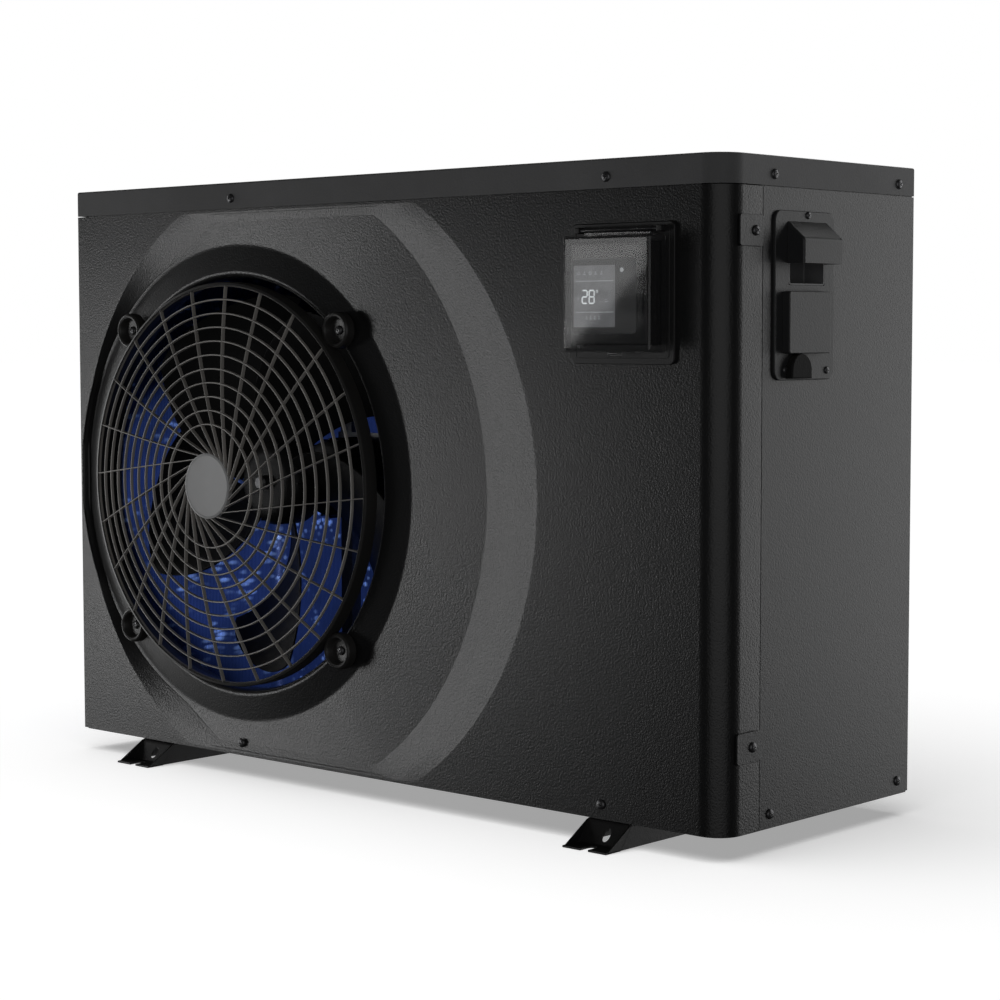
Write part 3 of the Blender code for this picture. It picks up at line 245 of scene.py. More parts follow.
def lathe(profile: Sequence[Point], sides: int = 48, closed: bool = False,
          facing: Facing = Facing.UP, centre: Sequence[float] = (0.0, 0.0, 0.0)) -> Mesh:
    """A turned piece about its own Z.

    Args:
        profile: (radius, height) points.
        sides: Steps round the axis.
        closed: Whether the profile is a loop, as of a ring.
        facing: Where the piece's own Z goes.
        centre: Where the piece's origin goes.

    Returns:
        The mesh.
    """
    turns = [2 * math.pi * step / sides for step in range(sides)]
    rings = [[Vector((radius * math.cos(a), radius * math.sin(a), height)) for a in turns]
             for radius, height in profile]
    piece = loft(rings, closed=closed)
    piece.data.transform(Matrix.Translation(centre) @ facing.matrix())
    return piece


def rounded_outline(half_w: float, half_h: float, radius: float, steps: int = 6) -> list[Point]:
    """The outline of a rectangle with round corners, anticlockwise.

    Args:
        half_w: Half the width.
        half_h: Half the height.
        radius: The corners' radius.
        steps: Steps per corner.

    Returns:
        The outline's points.
    """
    outline = []
    for side_x, side_y, start in ((1, 1, 0), (-1, 1, 90), (-1, -1, 180), (1, -1, 270)):
        for step in range(steps + 1):
            a = math.radians(start + 90 * step / steps)
            outline.append((side_x * (half_w - radius) + radius * math.cos(a),
                            side_y * (half_h - radius) + radius * math.sin(a)))
    return outline


def slab(outline: Sequence[Point], thickness: float, edge: float, facing: Facing,
         centre: Sequence[float]) -> Mesh:
    """A flat plate with rounded front edges, cut to an outline.

    Args:
        outline: The outline's points.
        thickness: The plate's thickness, from its back at height 0.
        edge: The rounding of its front edge.
        facing: Where its front looks.
        centre: Where the middle of its back goes.

    Returns:
        The mesh.
    """
    middle_u = sum(u for u, _ in outline) / len(outline)
    middle_v = sum(v for _, v in outline) / len(outline)
    reach = max(abs(u - middle_u) for u, _ in outline)
    rings = [[Vector((u, v, 0.0)) for u, v in outline]]
    for step in range(4):
        a = math.radians(30 * step)
        pull = 1.0 - edge * (1.0 - math.cos(a)) / reach
        height = thickness - edge * (1.0 - math.sin(a))
        rings.append([Vector((middle_u + (u - middle_u) * pull,
                              middle_v + (v - middle_v) * pull, height)) for u, v in outline])
    piece = loft(rings, filled=True)
    piece.data.transform(Matrix.Translation(centre) @ facing.matrix())
    return piece


def tube(path: Sequence[Vector], radius: float, sides: int = 8) -> Mesh:
    """A round wire or pipe along a path.

    Args:
        path: The points of its middle line.
        radius: The wire's radius.
        sides: Its number of sides.

    Returns:
        The mesh.
    """
    rings = []
    for index, point in enumerate(path):
        ahead = (path[min(index + 1, len(path) - 1)] - path[max(index - 1, 0)]).normalized()
        side = ahead.orthogonal() if index == 0 else side - ahead * side.dot(ahead)
        side.normalize()
        other = ahead.cross(side)
        rings.append([point + radius * (side * math.cos(a) + other * math.sin(a))
                      for a in (2 * math.pi * step / sides for step in range(sides))])
    return loft(rings, filled=True)


def copied(piece: Mesh, matrix: Matrix) -> Mesh:
    """A copy of a piece with its own mesh, moved by a matrix."""
    twin = piece.copy()
    twin.data = piece.data.copy()
    bpy.context.scene.collection.objects.link(twin)
    twin.data.transform(matrix)
    return twin


def joined(pieces: Sequence[Mesh]) -> Mesh:
    """Several meshes as one."""
    bpy.ops.object.select_all(action="DESELECT")
    for piece in pieces:
        piece.select_set(True)
    bpy.context.view_layer.objects.active = pieces[0]
    bpy.ops.object.join()
    return pieces[0]


def carve(piece: Mesh, tool: Mesh) -> Mesh:
    """Cuts a tool's shape out of a piece, and takes the tool away."""
    modify(piece, "BOOLEAN", object=tool, operation="DIFFERENCE", solver="EXACT")
    bpy.data.objects.remove(tool)
    return piece


def face_out(piece: Mesh) -> Mesh:
    """Turns all faces of a closed mesh outwards."""
    with editing(piece):
        bpy.ops.mesh.select_all(action="SELECT")
        bpy.ops.mesh.normals_make_consistent(inside=False)
    return piece


@dataclass(frozen=True)
class Casing:
    """The casing's corner in the frame, and its main sizes; pieces are laid out from that corner."""

    corner: Vector
    width: float
    depth: float
    height: float
    lid_h: float
    sheet: float = 0.0015
    seam: float = 0.001
    panel_low: float = 0.002
    corner_r: float = 0.028
    wrap_end: float = 0.058

    @property
    def panel_top(self) -> float:
        """The height at which the panels end under the lid."""
        return self.height - self.lid_h - self.seam

    @classmethod
    def from_frame(cls) -> "Casing":
        """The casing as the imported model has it."""
        low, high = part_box("lid")
        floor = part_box("base_pan")[0].z
        return cls(corner=Vector((low.x, low.y, floor)), width=high.x - low.x, depth=high.y - low.y,
                   height=high.z - floor, lid_h=high.z - low.z)


CASE = Casing.from_frame()


def spot(node: str) -> tuple[Vector, Vector]:
    """A node's lowest and highest corner, from the casing's corner."""
    low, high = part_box(node)
    return low - CASE.corner, high - CASE.corner


def finished(piece: Mesh, name: str, body: str, dress: bpy.types.Material,
             stands_for: Sequence[str] = (), angle: float = 35.0) -> Mesh:
    """Names, smooths and dresses a piece, moves it to its place in the frame and hangs it on its body.

    Args:
        piece: The mesh, laid out from the casing's corner.
        name: The piece's name.
        body: The body it moves with.
        dress: Its material.
        stands_for: The nodes that it stands for.
        angle: The bend, in degrees, above which an edge shows sharp.

    Returns:
        The finished piece.
    """
    piece.name = name
    piece.data.name = name
    activate(piece)
    piece.data.transform(Matrix.Translation(CASE.corner))
    bpy.ops.object.shade_smooth_by_angle(angle=math.radians(angle))
    modify(piece, "WEIGHTED_NORMAL", keep_sharp=True, weight=60)
    piece.data.materials.clear()
    piece.data.materials.append(dress)
    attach(piece, body)
    if stands_for:
        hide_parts(*stands_for)
    LOG.info("%s: %d faces on %s", name, len(piece.data.polygons), body)
    return piece


# ---------------------------------------------------------------- finishes

class Wiring:
    """Nodes and links of one shader tree."""

    def __init__(self, tree: bpy.types.NodeTree) -> None:
        """Keeps the tree."""
        self.tree = tree

    def feed(self, socket: bpy.types.NodeSocket, value: object) -> None:
        """Links a socket to an input, or sets the input's value."""
        if isinstance(value, bpy.types.NodeSocket):
            self.tree.links.new(value, socket)
        else:
            socket.default_value = value

    def node(self, kind: str, settings: dict[str, object] | None = None,
             **inputs: object) -> bpy.types.Node:
        """Adds a node.

        Args:
            kind: The node's type, without its prefix.
            settings: Its properties.
            inputs: Values, or sockets to link, by input name with _ for a space.

        Returns:
            The node.
        """
        made = self.tree.nodes.new("ShaderNode" + kind)
        for key, value in (settings or {}).items():
            setattr(made, key, value)
        for key, value in inputs.items():
            name = key.replace("_", " ")
            numbered = name[0] == "i" and name[1:].isdigit()
            self.feed(made.inputs[int(name[1:]) if numbered else name], value)
        return made

    def math(self, operation: str, *values: object) -> bpy.types.NodeSocket:
        """The result of a sum on numbers or sockets."""
        inputs = {"i" + str(index): value for index, value in enumerate(values)}
        return self.node("Math", {"operation": operation}, **inputs).outputs[0]

    def mix(self, share: object, first: object, second: object) -> bpy.types.NodeSocket:
        """Two colours mixed by a share."""
        return self.node("Mix", {"data_type": "RGBA"}, i0=share, i6=first, i7=second).outputs[2]

    def spread(self, value: object, low: float, high: float, to_low: float = 0.0,
               to_high: float = 1.0) -> bpy.types.NodeSocket:
        """A value mapped from one range to another, kept inside it."""
        return self.node("MapRange", {"clamp": True}, Value=value, From_Min=low, From_Max=high,
                         To_Min=to_low, To_Max=to_high).outputs[0]

    def group(self, tree: bpy.types.NodeTree, **inputs: object) -> bpy.types.Node:
        """Places a node group with its own values."""
        made = self.tree.nodes.new("ShaderNodeGroup")
        made.node_tree = tree
        for key, value in inputs.items():
            self.feed(made.inputs[key.replace("_", " ")], value)
        return made


def new_group(name: str, inputs: dict[str, tuple[str, object]], outputs: dict[str, str]
              ) -> tuple[bpy.types.NodeTree, Wiring, bpy.types.Node, bpy.types.Node]:
    """Starts a shader node group.

    Args:
        name: Its name.
        inputs: Socket type and first value, by name.
        outputs: Socket type, by name.

    Returns:
        The tree, its wiring, its input node and its output node.
    """
    tree = bpy.data.node_groups.new(name, "ShaderNodeTree")
    for key, (kind, value) in inputs.items():
        socket = tree.interface.new_socket(name=key, in_out="INPUT",
                                           socket_type="NodeSocket" + kind)
        socket.default_value = value
    for key, kind in outputs.items():
        tree.interface.new_socket(name=key, in_out="OUTPUT", socket_type="NodeSocket" + kind)
    return tree, Wiring(tree), tree.nodes.new("NodeGroupInput"), tree.nodes.new("NodeGroupOutput")


class Effects:
    """The surface effects that the finishes share, each a node group built once."""

    def __init__(self) -> None:
        """Builds the groups."""
        self.grain = self.build_grain()
        self.tone = self.build_tone()
        self.dust = self.build_dust()
        self.edges = self.build_edges()

    @staticmethod
    def build_grain() -> bpy.types.NodeTree:
        """Fine pebbles of a powder coat or a moulded skin, as a height and a gloss change."""
        tree, w, given, made = new_group(
            "pebble_grain",
            {"Scale": ("Float", 600.0), "Gloss Change": ("Float", 0.1), "Gloss": ("Float", 0.4)},
            {"Height": "Float", "Roughness": "Float"})
        place = w.node("TexCoord").outputs["Object"]
        soft = w.node("TexNoise", Vector=place, Scale=given.outputs["Scale"], Detail=2.0, Roughness=0.5)
        cells = w.node("TexVoronoi", {"feature": "SMOOTH_F1"}, Vector=place,
                       Scale=w.math("MULTIPLY", given.outputs["Scale"], 0.8), Smoothness=0.6)
        height = w.math("ADD", w.math("MULTIPLY", soft.outputs[0], 0.6),
                        w.math("MULTIPLY", cells.outputs["Distance"], -0.5))
        change = w.math("MULTIPLY", w.math("SUBTRACT", soft.outputs[0], 0.5), given.outputs["Gloss Change"])
        w.tree.links.new(height, made.inputs["Height"])
        w.tree.links.new(w.math("ADD", given.outputs["Gloss"], change), made.inputs["Roughness"])
        return tree

    @staticmethod
    def build_tone() -> bpy.types.NodeTree:
        """Slow changes of colour over a surface, with finer specks in them."""
        tree, w, given, made = new_group(
            "slow_tone",
            {"Colour": ("Color", (0.5, 0.5, 0.5, 1.0)), "Second Colour": ("Color", (0.4, 0.4, 0.4, 1.0)),
             "Scale": ("Float", 6.0), "Specks": ("Float", 0.2)}, {"Colour": "Color"})
        place = w.node("TexCoord").outputs["Object"]
        slow = w.node("TexNoise", Vector=place, Scale=given.outputs["Scale"], Detail=4.0, Roughness=0.55)
        fine = w.node("TexNoise", Vector=place, Scale=1100.0, Detail=1.0, Roughness=0.5)
        share = w.math("ADD", w.spread(slow.outputs[0], 0.35, 0.65),
                       w.math("MULTIPLY", w.math("SUBTRACT", fine.outputs[0], 0.5), given.outputs["Specks"]))
        w.tree.links.new(w.mix(share, given.outputs["Colour"], given.outputs["Second Colour"]),
                         made.inputs["Colour"])
        return tree

    @staticmethod
    def build_dust() -> bpy.types.NodeTree:
        """Dust that lies on what faces up, thin and uneven."""
        tree, w, given, made = new_group(
            "settled_dust", {"Colour": ("Color", (0.5, 0.5, 0.5, 1.0)), "Roughness": ("Float", 0.4),
                             "Amount": ("Float", 0.3)}, {"Colour": "Color", "Roughness": "Float"})
        up = w.node("SeparateXYZ", Vector=w.node("NewGeometry").outputs["Normal"]).outputs["Z"]
        place = w.node("TexCoord").outputs["Object"]
        patches = w.node("TexNoise", Vector=place, Scale=35.0, Detail=5.0, Roughness=0.65)
        lies = w.math("MULTIPLY", w.spread(up, 0.2, 1.0), w.spread(patches.outputs[0], 0.3, 0.75))
        lies = w.math("MULTIPLY", lies, given.outputs["Amount"])
        colour = w.mix(lies, given.outputs["Colour"], (0.20, 0.19, 0.17, 1.0))
        rough = w.math("ADD", given.outputs["Roughness"], w.math("MULTIPLY", lies, 0.4))
        w.tree.links.new(colour, made.inputs["Colour"])
        w.tree.links.new(rough, made.inputs["Roughness"])
        return tree

    @staticmethod
    def build_edges() -> bpy.types.NodeTree:
        """A mask of worn edges that also lays a painted sheen on them, from how far a rounded normal leaves the true
        one.
        """
        tree, w, given, made = new_group(
            "edge_wear_and_sheen_mask", {"Width": ("Float", 0.0012), "Amount": ("Float", 0.5)}, {"Mask": "Float"})
        round_normal = w.node("Bevel", {"samples": 4}, Radius=given.outputs["Width"]).outputs[0]
        true_normal = w.node("NewGeometry").outputs["Normal"]
        apart = w.node("VectorMath", {"operation": "DOT_PRODUCT"}, i0=round_normal,
                       i1=true_normal).outputs["Value"]
        bent = w.spread(apart, 0.98, 0.85)
        place = w.node("TexCoord").outputs["Object"]
        broken = w.node("TexNoise", Vector=place, Scale=160.0, Detail=4.0, Roughness=0.6)
        mask = w.math("MULTIPLY", w.math("MULTIPLY", bent, w.spread(broken.outputs[0], 0.42, 0.62)),
                      given.outputs["Amount"])
        w.tree.links.new(mask, made.inputs["Mask"])
        return tree


EFFECTS = Effects()


def opaque(colour: Colour) -> tuple[float, float, float, float]:
    """A colour with full alpha."""
    return (*colour, 1.0)


def new_material(name: str) -> tuple[bpy.types.Material, Wiring, bpy.types.Node]:
    """Starts a material.

    Args:
        name: Its name.

    Returns:
        The material, its wiring and its Principled shader.
    """
    made = bpy.data.materials.new(name)
    made.use_nodes = True
    return made, Wiring(made.node_tree), made.node_tree.nodes["Principled BSDF"]


@dataclass(frozen=True)
class Skin:
    """A painted, moulded or metal surface with grain, slow tone changes, dust, and worn edges with a painted sheen."""

    name: str
    colour: Colour
    roughness: float
    second: float = 0.75
    metallic: float = 0.0
    grain_scale: float = 700.0
    grain_depth: float = 0.00008
    gloss_change: float = 0.12
    specks: float = 0.2
    tone_scale: float = 6.0
    dust: float = 0.15
    rubbed: float = 0.0
    rubbed_colour: Colour = (0.25, 0.25, 0.25)
    coat: float = 0.0
    specular: float = 0.5

    def build(self) -> bpy.types.Material:
        """Builds the material.

        Returns:
            The material, with one Principled shader.
        """
        made, w, shader = new_material(self.name)
        darker = tuple(part * self.second for part in self.colour)
        tone = w.group(EFFECTS.tone, Colour=opaque(self.colour), Second_Colour=opaque(darker),
                       Scale=self.tone_scale, Specks=self.specks).outputs["Colour"]
        # Lighter edges: partly wear, partly a painted highlight along the edges.
        if self.rubbed:
            mask = w.group(EFFECTS.edges, Amount=self.rubbed).outputs["Mask"]
            tone = w.mix(mask, tone, opaque(self.rubbed_colour))
        grain = w.group(EFFECTS.grain, Scale=self.grain_scale, Gloss_Change=self.gloss_change,
                        Gloss=self.roughness)
        dust = w.group(EFFECTS.dust, Colour=tone, Roughness=grain.outputs["Roughness"], Amount=self.dust)
        bump = w.node("Bump", Strength=1.0, Distance=self.grain_depth, Height=grain.outputs["Height"])
        w.tree.links.new(dust.outputs["Colour"], shader.inputs["Base Color"])
        w.tree.links.new(dust.outputs["Roughness"], shader.inputs["Roughness"])
        w.tree.links.new(bump.outputs["Normal"], shader.inputs["Normal"])
        shader.inputs["Metallic"].default_value = self.metallic
        shader.inputs["Coat Weight"].default_value = self.coat
        shader.inputs["Coat Roughness"].default_value = 0.12
        shader.inputs["Specular IOR Level"].default_value = self.specular
        return made


@dataclass(frozen=True)
class FinMetal:
    """Blue coated aluminium fins, with pale spots: dents in the bump, whose pale colour is painted highlight."""

    name: str = "blue_fin_metal"
    colour: Colour = (0.030, 0.062, 0.25)
    shade: Colour = (0.016, 0.034, 0.13)
    pale: Colour = (0.26, 0.42, 0.85)

    def build(self) -> bpy.types.Material:
        """Builds the material.

        Returns:
            The material, with one Principled shader.
        """
        made, w, shader = new_material(self.name)
        place = w.node("TexCoord").outputs["Object"]
        stretched = w.node("Mapping", i1=(0.0, 0.0, 0.0), i3=(1.0, 0.3, 1.0), Vector=place).outputs[0]
        # Pale spots: small dents in the bump, and painted highlight in the colour that stands in for glints off the
        # fin edges.
        glint_spots = w.node("TexVoronoi", {"feature": "F1"}, Vector=stretched, Scale=120.0, Randomness=1.0)
        patches = w.node("TexNoise", Vector=place, Scale=14.0, Detail=3.0, Roughness=0.6)
        share = w.math("MULTIPLY", w.spread(glint_spots.outputs["Distance"], 0.42, 0.22),
                       w.spread(patches.outputs[0], 0.48, 0.62))
        tone = w.group(EFFECTS.tone, Colour=opaque(self.colour), Scale=9.0, Specks=0.4,
                       Second_Colour=opaque(self.shade)).outputs["Colour"]
        grain = w.group(EFFECTS.grain, Scale=900.0, Gloss_Change=0.2, Gloss=0.32)
        bump = w.node("Bump", Strength=0.6, Distance=0.0004,
                      Height=w.math("ADD", grain.outputs["Height"], share))
        w.tree.links.new(w.mix(share, tone, opaque(self.pale)), shader.inputs["Base Color"])
        w.tree.links.new(grain.outputs["Roughness"], shader.inputs["Roughness"])
        w.tree.links.new(bump.outputs["Normal"], shader.inputs["Normal"])
        shader.inputs["Metallic"].default_value = 0.35
        return made


@dataclass(frozen=True)
class SmokedClear:
    """A clear hard cover, lightly smoked, with faint wipe marks."""

    name: str = "smoked_clear"
    colour: Colour = (0.035, 0.036, 0.038)
    alpha: float = 0.27

    def build(self) -> bpy.types.Material:
        """Builds the material.

        Returns:
            The material, with one Principled shader.
        """
        made, w, shader = new_material(self.name)
        place = w.node("TexCoord").outputs["Object"]
        wipes = w.node("TexNoise", Vector=w.node("Mapping", i3=(18.0, 18.0, 70.0), Vector=place).outputs[0],
                       Scale=1.0, Detail=1.0, Roughness=0.5)
        dust = w.group(EFFECTS.dust, Colour=opaque(self.colour),
                       Roughness=w.spread(wipes.outputs[0], 0.35, 0.7, 0.03, 0.12), Amount=0.15)
        w.tree.links.new(dust.outputs["Colour"], shader.inputs["Base Color"])
        w.tree.links.new(dust.outputs["Roughness"], shader.inputs["Roughness"])
        w.tree.links.new(w.spread(wipes.outputs[0], 0.3, 0.8, self.alpha - 0.01, self.alpha + 0.02),
                                 shader.inputs["Alpha"])
        shader.inputs["Specular IOR Level"].default_value = 0.8
        shader.inputs["Coat Weight"].default_value = 1.0
        shader.inputs["Coat Roughness"].default_value = 0.03
        return made


@dataclass(frozen=True)
class LitMark:
    """A mark on the screen that glows with a little light of its own; the screen field's glow is painted light."""

    name: str
    colour: Colour
    strength: float

    def build(self) -> bpy.types.Material:
        """Builds the material.

        Returns:
            The material, with one Principled shader.
        """
        made, w, shader = new_material(self.name)
        faded = tuple(part * 0.8 for part in self.colour)
        tone = w.group(EFFECTS.tone, Colour=opaque(self.colour), Second_Colour=opaque(faded), Scale=60.0,
                       Specks=0.3).outputs["Colour"]
        w.tree.links.new(tone, shader.inputs["Base Color"])
        w.tree.links.new(tone, shader.inputs["Emission Color"])
        shader.inputs["Emission Strength"].default_value = self.strength
        shader.inputs["Roughness"].default_value = 0.4
        return made


class Finish(Enum):
    """The finishes by the record's slot names."""

    # The lighter edge colours here are edge wear and painted edge highlight together.
    casing_paint = Skin("casing_paint", (0.026, 0.0265, 0.028), 0.38, grain_scale=620.0, grain_depth=0.00022,
                        rubbed=0.25, rubbed_colour=(0.10, 0.10, 0.105))
    lid_paint = Skin("lid_paint", (0.165, 0.166, 0.169), 0.55, grain_scale=620.0, grain_depth=0.00018,
                     rubbed=0.25, rubbed_colour=(0.20, 0.20, 0.205), specular=0.3)
    # Painted light: a much lighter copy of the handle's grey plastic, so that the shaded inside of the finger pocket
    # reads as lit.
    pocket_plastic = Skin("pocket_plastic", (0.16, 0.16, 0.165), 0.5, grain_scale=620.0, grain_depth=0.00018)
    panel_paint = Skin("panel_paint", (0.014, 0.0143, 0.015), 0.33, grain_scale=620.0, grain_depth=0.00025)
    guard_paint = Skin("guard_paint", (0.022, 0.022, 0.023), 0.42, grain_scale=500.0, grain_depth=0.00010,
                       dust=0.35, rubbed=0.2)
    # Painted highlight: the guard is a dark warm grey moulding like its band, and this pale colour on its rings and
    # ribs stands in for the light that its thin wires catch.
    grille_plastic = Skin("grille_plastic", (0.42, 0.40, 0.375), 0.42, grain_scale=900.0,
                          grain_depth=0.00006, dust=0.2)
    ring_plastic = Skin("ring_plastic", (0.032, 0.031, 0.030), 0.38, grain_scale=900.0, grain_depth=0.00006)
    hub_plastic = Skin("hub_plastic", (0.58, 0.585, 0.59), 0.45, grain_scale=900.0, grain_depth=0.00008)
    fan_plastic = Skin("fan_plastic", (0.006, 0.006, 0.0065), 0.50, grain_scale=800.0, grain_depth=0.00008,
                       dust=0.2, specular=0.3)
    black_metal = Skin("black_metal", (0.016, 0.016, 0.017), 0.40, grain_scale=700.0, grain_depth=0.0001,
                       rubbed=0.4, rubbed_colour=(0.12, 0.12, 0.12))
    screw_steel = Skin("screw_steel", (0.14, 0.14, 0.145), 0.36, metallic=0.85, grain_scale=1500.0,
                       grain_depth=0.00003, rubbed=0.6, rubbed_colour=(0.35, 0.35, 0.35))
    sheet_steel = Skin("sheet_steel", (0.17, 0.173, 0.178), 0.48, metallic=0.9, grain_scale=60.0,
                       grain_depth=0.00004, gloss_change=0.35, specks=0.3, tone_scale=30.0, dust=0.3)
    blue_fins = FinMetal()
    copper = Skin("copper", (0.56, 0.24, 0.12), 0.32, metallic=1.0, grain_scale=90.0, grain_depth=0.00003,
                  gloss_change=0.3, tone_scale=25.0)
    brass = Skin("brass", (0.58, 0.40, 0.15), 0.34, metallic=1.0, grain_scale=300.0, grain_depth=0.00004)
    dark_plastic = Skin("dark_plastic", (0.020, 0.020, 0.021), 0.45, grain_scale=800.0, grain_depth=0.00012)
    grey_plastic = Skin("grey_plastic", (0.034, 0.035, 0.037), 0.45, grain_scale=620.0, grain_depth=0.00018,
                        rubbed=0.35, rubbed_colour=(0.12, 0.12, 0.12))
    controller_black = Skin("controller_black", (0.006, 0.006, 0.007), 0.18, grain_scale=1200.0,
                            grain_depth=0.000001, gloss_change=0.01, specks=0.1, dust=0.1, coat=0.6)
    screen_glass = Skin("screen_glass", (0.012, 0.0125, 0.0135), 0.09, grain_scale=1500.0, grain_depth=0.0000005,
                        gloss_change=0.05, specks=0.1, dust=0.05, coat=0.8)
    clear_cover = SmokedClear()
    rubber = Skin("rubber", (0.010, 0.010, 0.010), 0.75, grain_scale=500.0, grain_depth=0.0002, specular=0.3)
    board = Skin("board", (0.015, 0.10, 0.045), 0.40, grain_scale=300.0, grain_depth=0.0001, specks=0.6)
    light_plastic = Skin("light_plastic", (0.55, 0.55, 0.53), 0.42, grain_scale=700.0, grain_depth=0.00008)
    # The field's glow is painted light: it makes up for the light that the smoked cover keeps off the screen.
    screen_field = LitMark("screen_field", (0.42, 0.43, 0.45), 0.28)
    screen_rim = Skin("screen_rim", (0.24, 0.243, 0.25), 0.25, grain_scale=1500.0, grain_depth=0.0000005,
                      gloss_change=0.05, dust=0.0)
    lit_digit = LitMark("lit_digit", (0.80, 0.84, 0.86), 1.3)
    lit_icon = LitMark("lit_icon", (0.60, 0.63, 0.65), 0.6)


class Wardrobe:
    """Materials, each built when it is first asked for."""

    def __init__(self) -> None:
        """Starts empty."""
        self.made: dict[Finish, bpy.types.Material] = {}

    def get(self, finish: Finish) -> bpy.types.Material:
        """The material of a finish."""
        if finish not in self.made:
            self.made[finish] = finish.value.build()
        return self.made[finish]


WARDROBE = Wardrobe()


def dressed(piece: Mesh, name: str, body: str, finish: Finish,
            stands_for: Sequence[str] = (), angle: float = 35.0) -> Mesh:
    """Finishes a piece with one of the finishes."""
    return finished(piece, name, body, WARDROBE.get(finish), stands_for, angle)


# ---------------------------------------------------------------- casing

@dataclass(frozen=True)
class Circle:
    """A circle on the front of the casing."""

    x: float
    z: float
    radius: float

    def reach(self, angle: float, x: float, z: float) -> float:
        """The distance from a point inside to the circle, along an angle.

        Args:
            angle: The direction, anticlockwise from the right.
            x: The point's place across.
            z: The point's height.

        Returns:
            The distance.
        """
        along = (x - self.x) * math.cos(angle) + (z - self.z) * math.sin(angle)
        apart = (x - self.x) ** 2 + (z - self.z) ** 2
        return -along + math.sqrt(along * along - apart + self.radius ** 2)


def upstand(start: float, end: float, side: int) -> Mesh:
    """A lip that stands up behind the lid's skirt and closes the joint under it.

    Args:
        start: Where it starts along its side.
        end: Where it ends.
        side: 0 for the front, 1 for the right, 2 for the back.

    Returns:
        The mesh.
    """
    near, far = CASE.sheet + 0.0004, CASE.sheet + 0.0014
    low, high = CASE.panel_top - 0.006, CASE.panel_top + 0.010
    if side == 1:
        return block((CASE.width - far, start, low), (CASE.width - near, end, high))
    if side == 2:
        return block((start, CASE.depth - far, low), (end, CASE.depth - near, high))
    return block((start, near, low), (end, far, high))


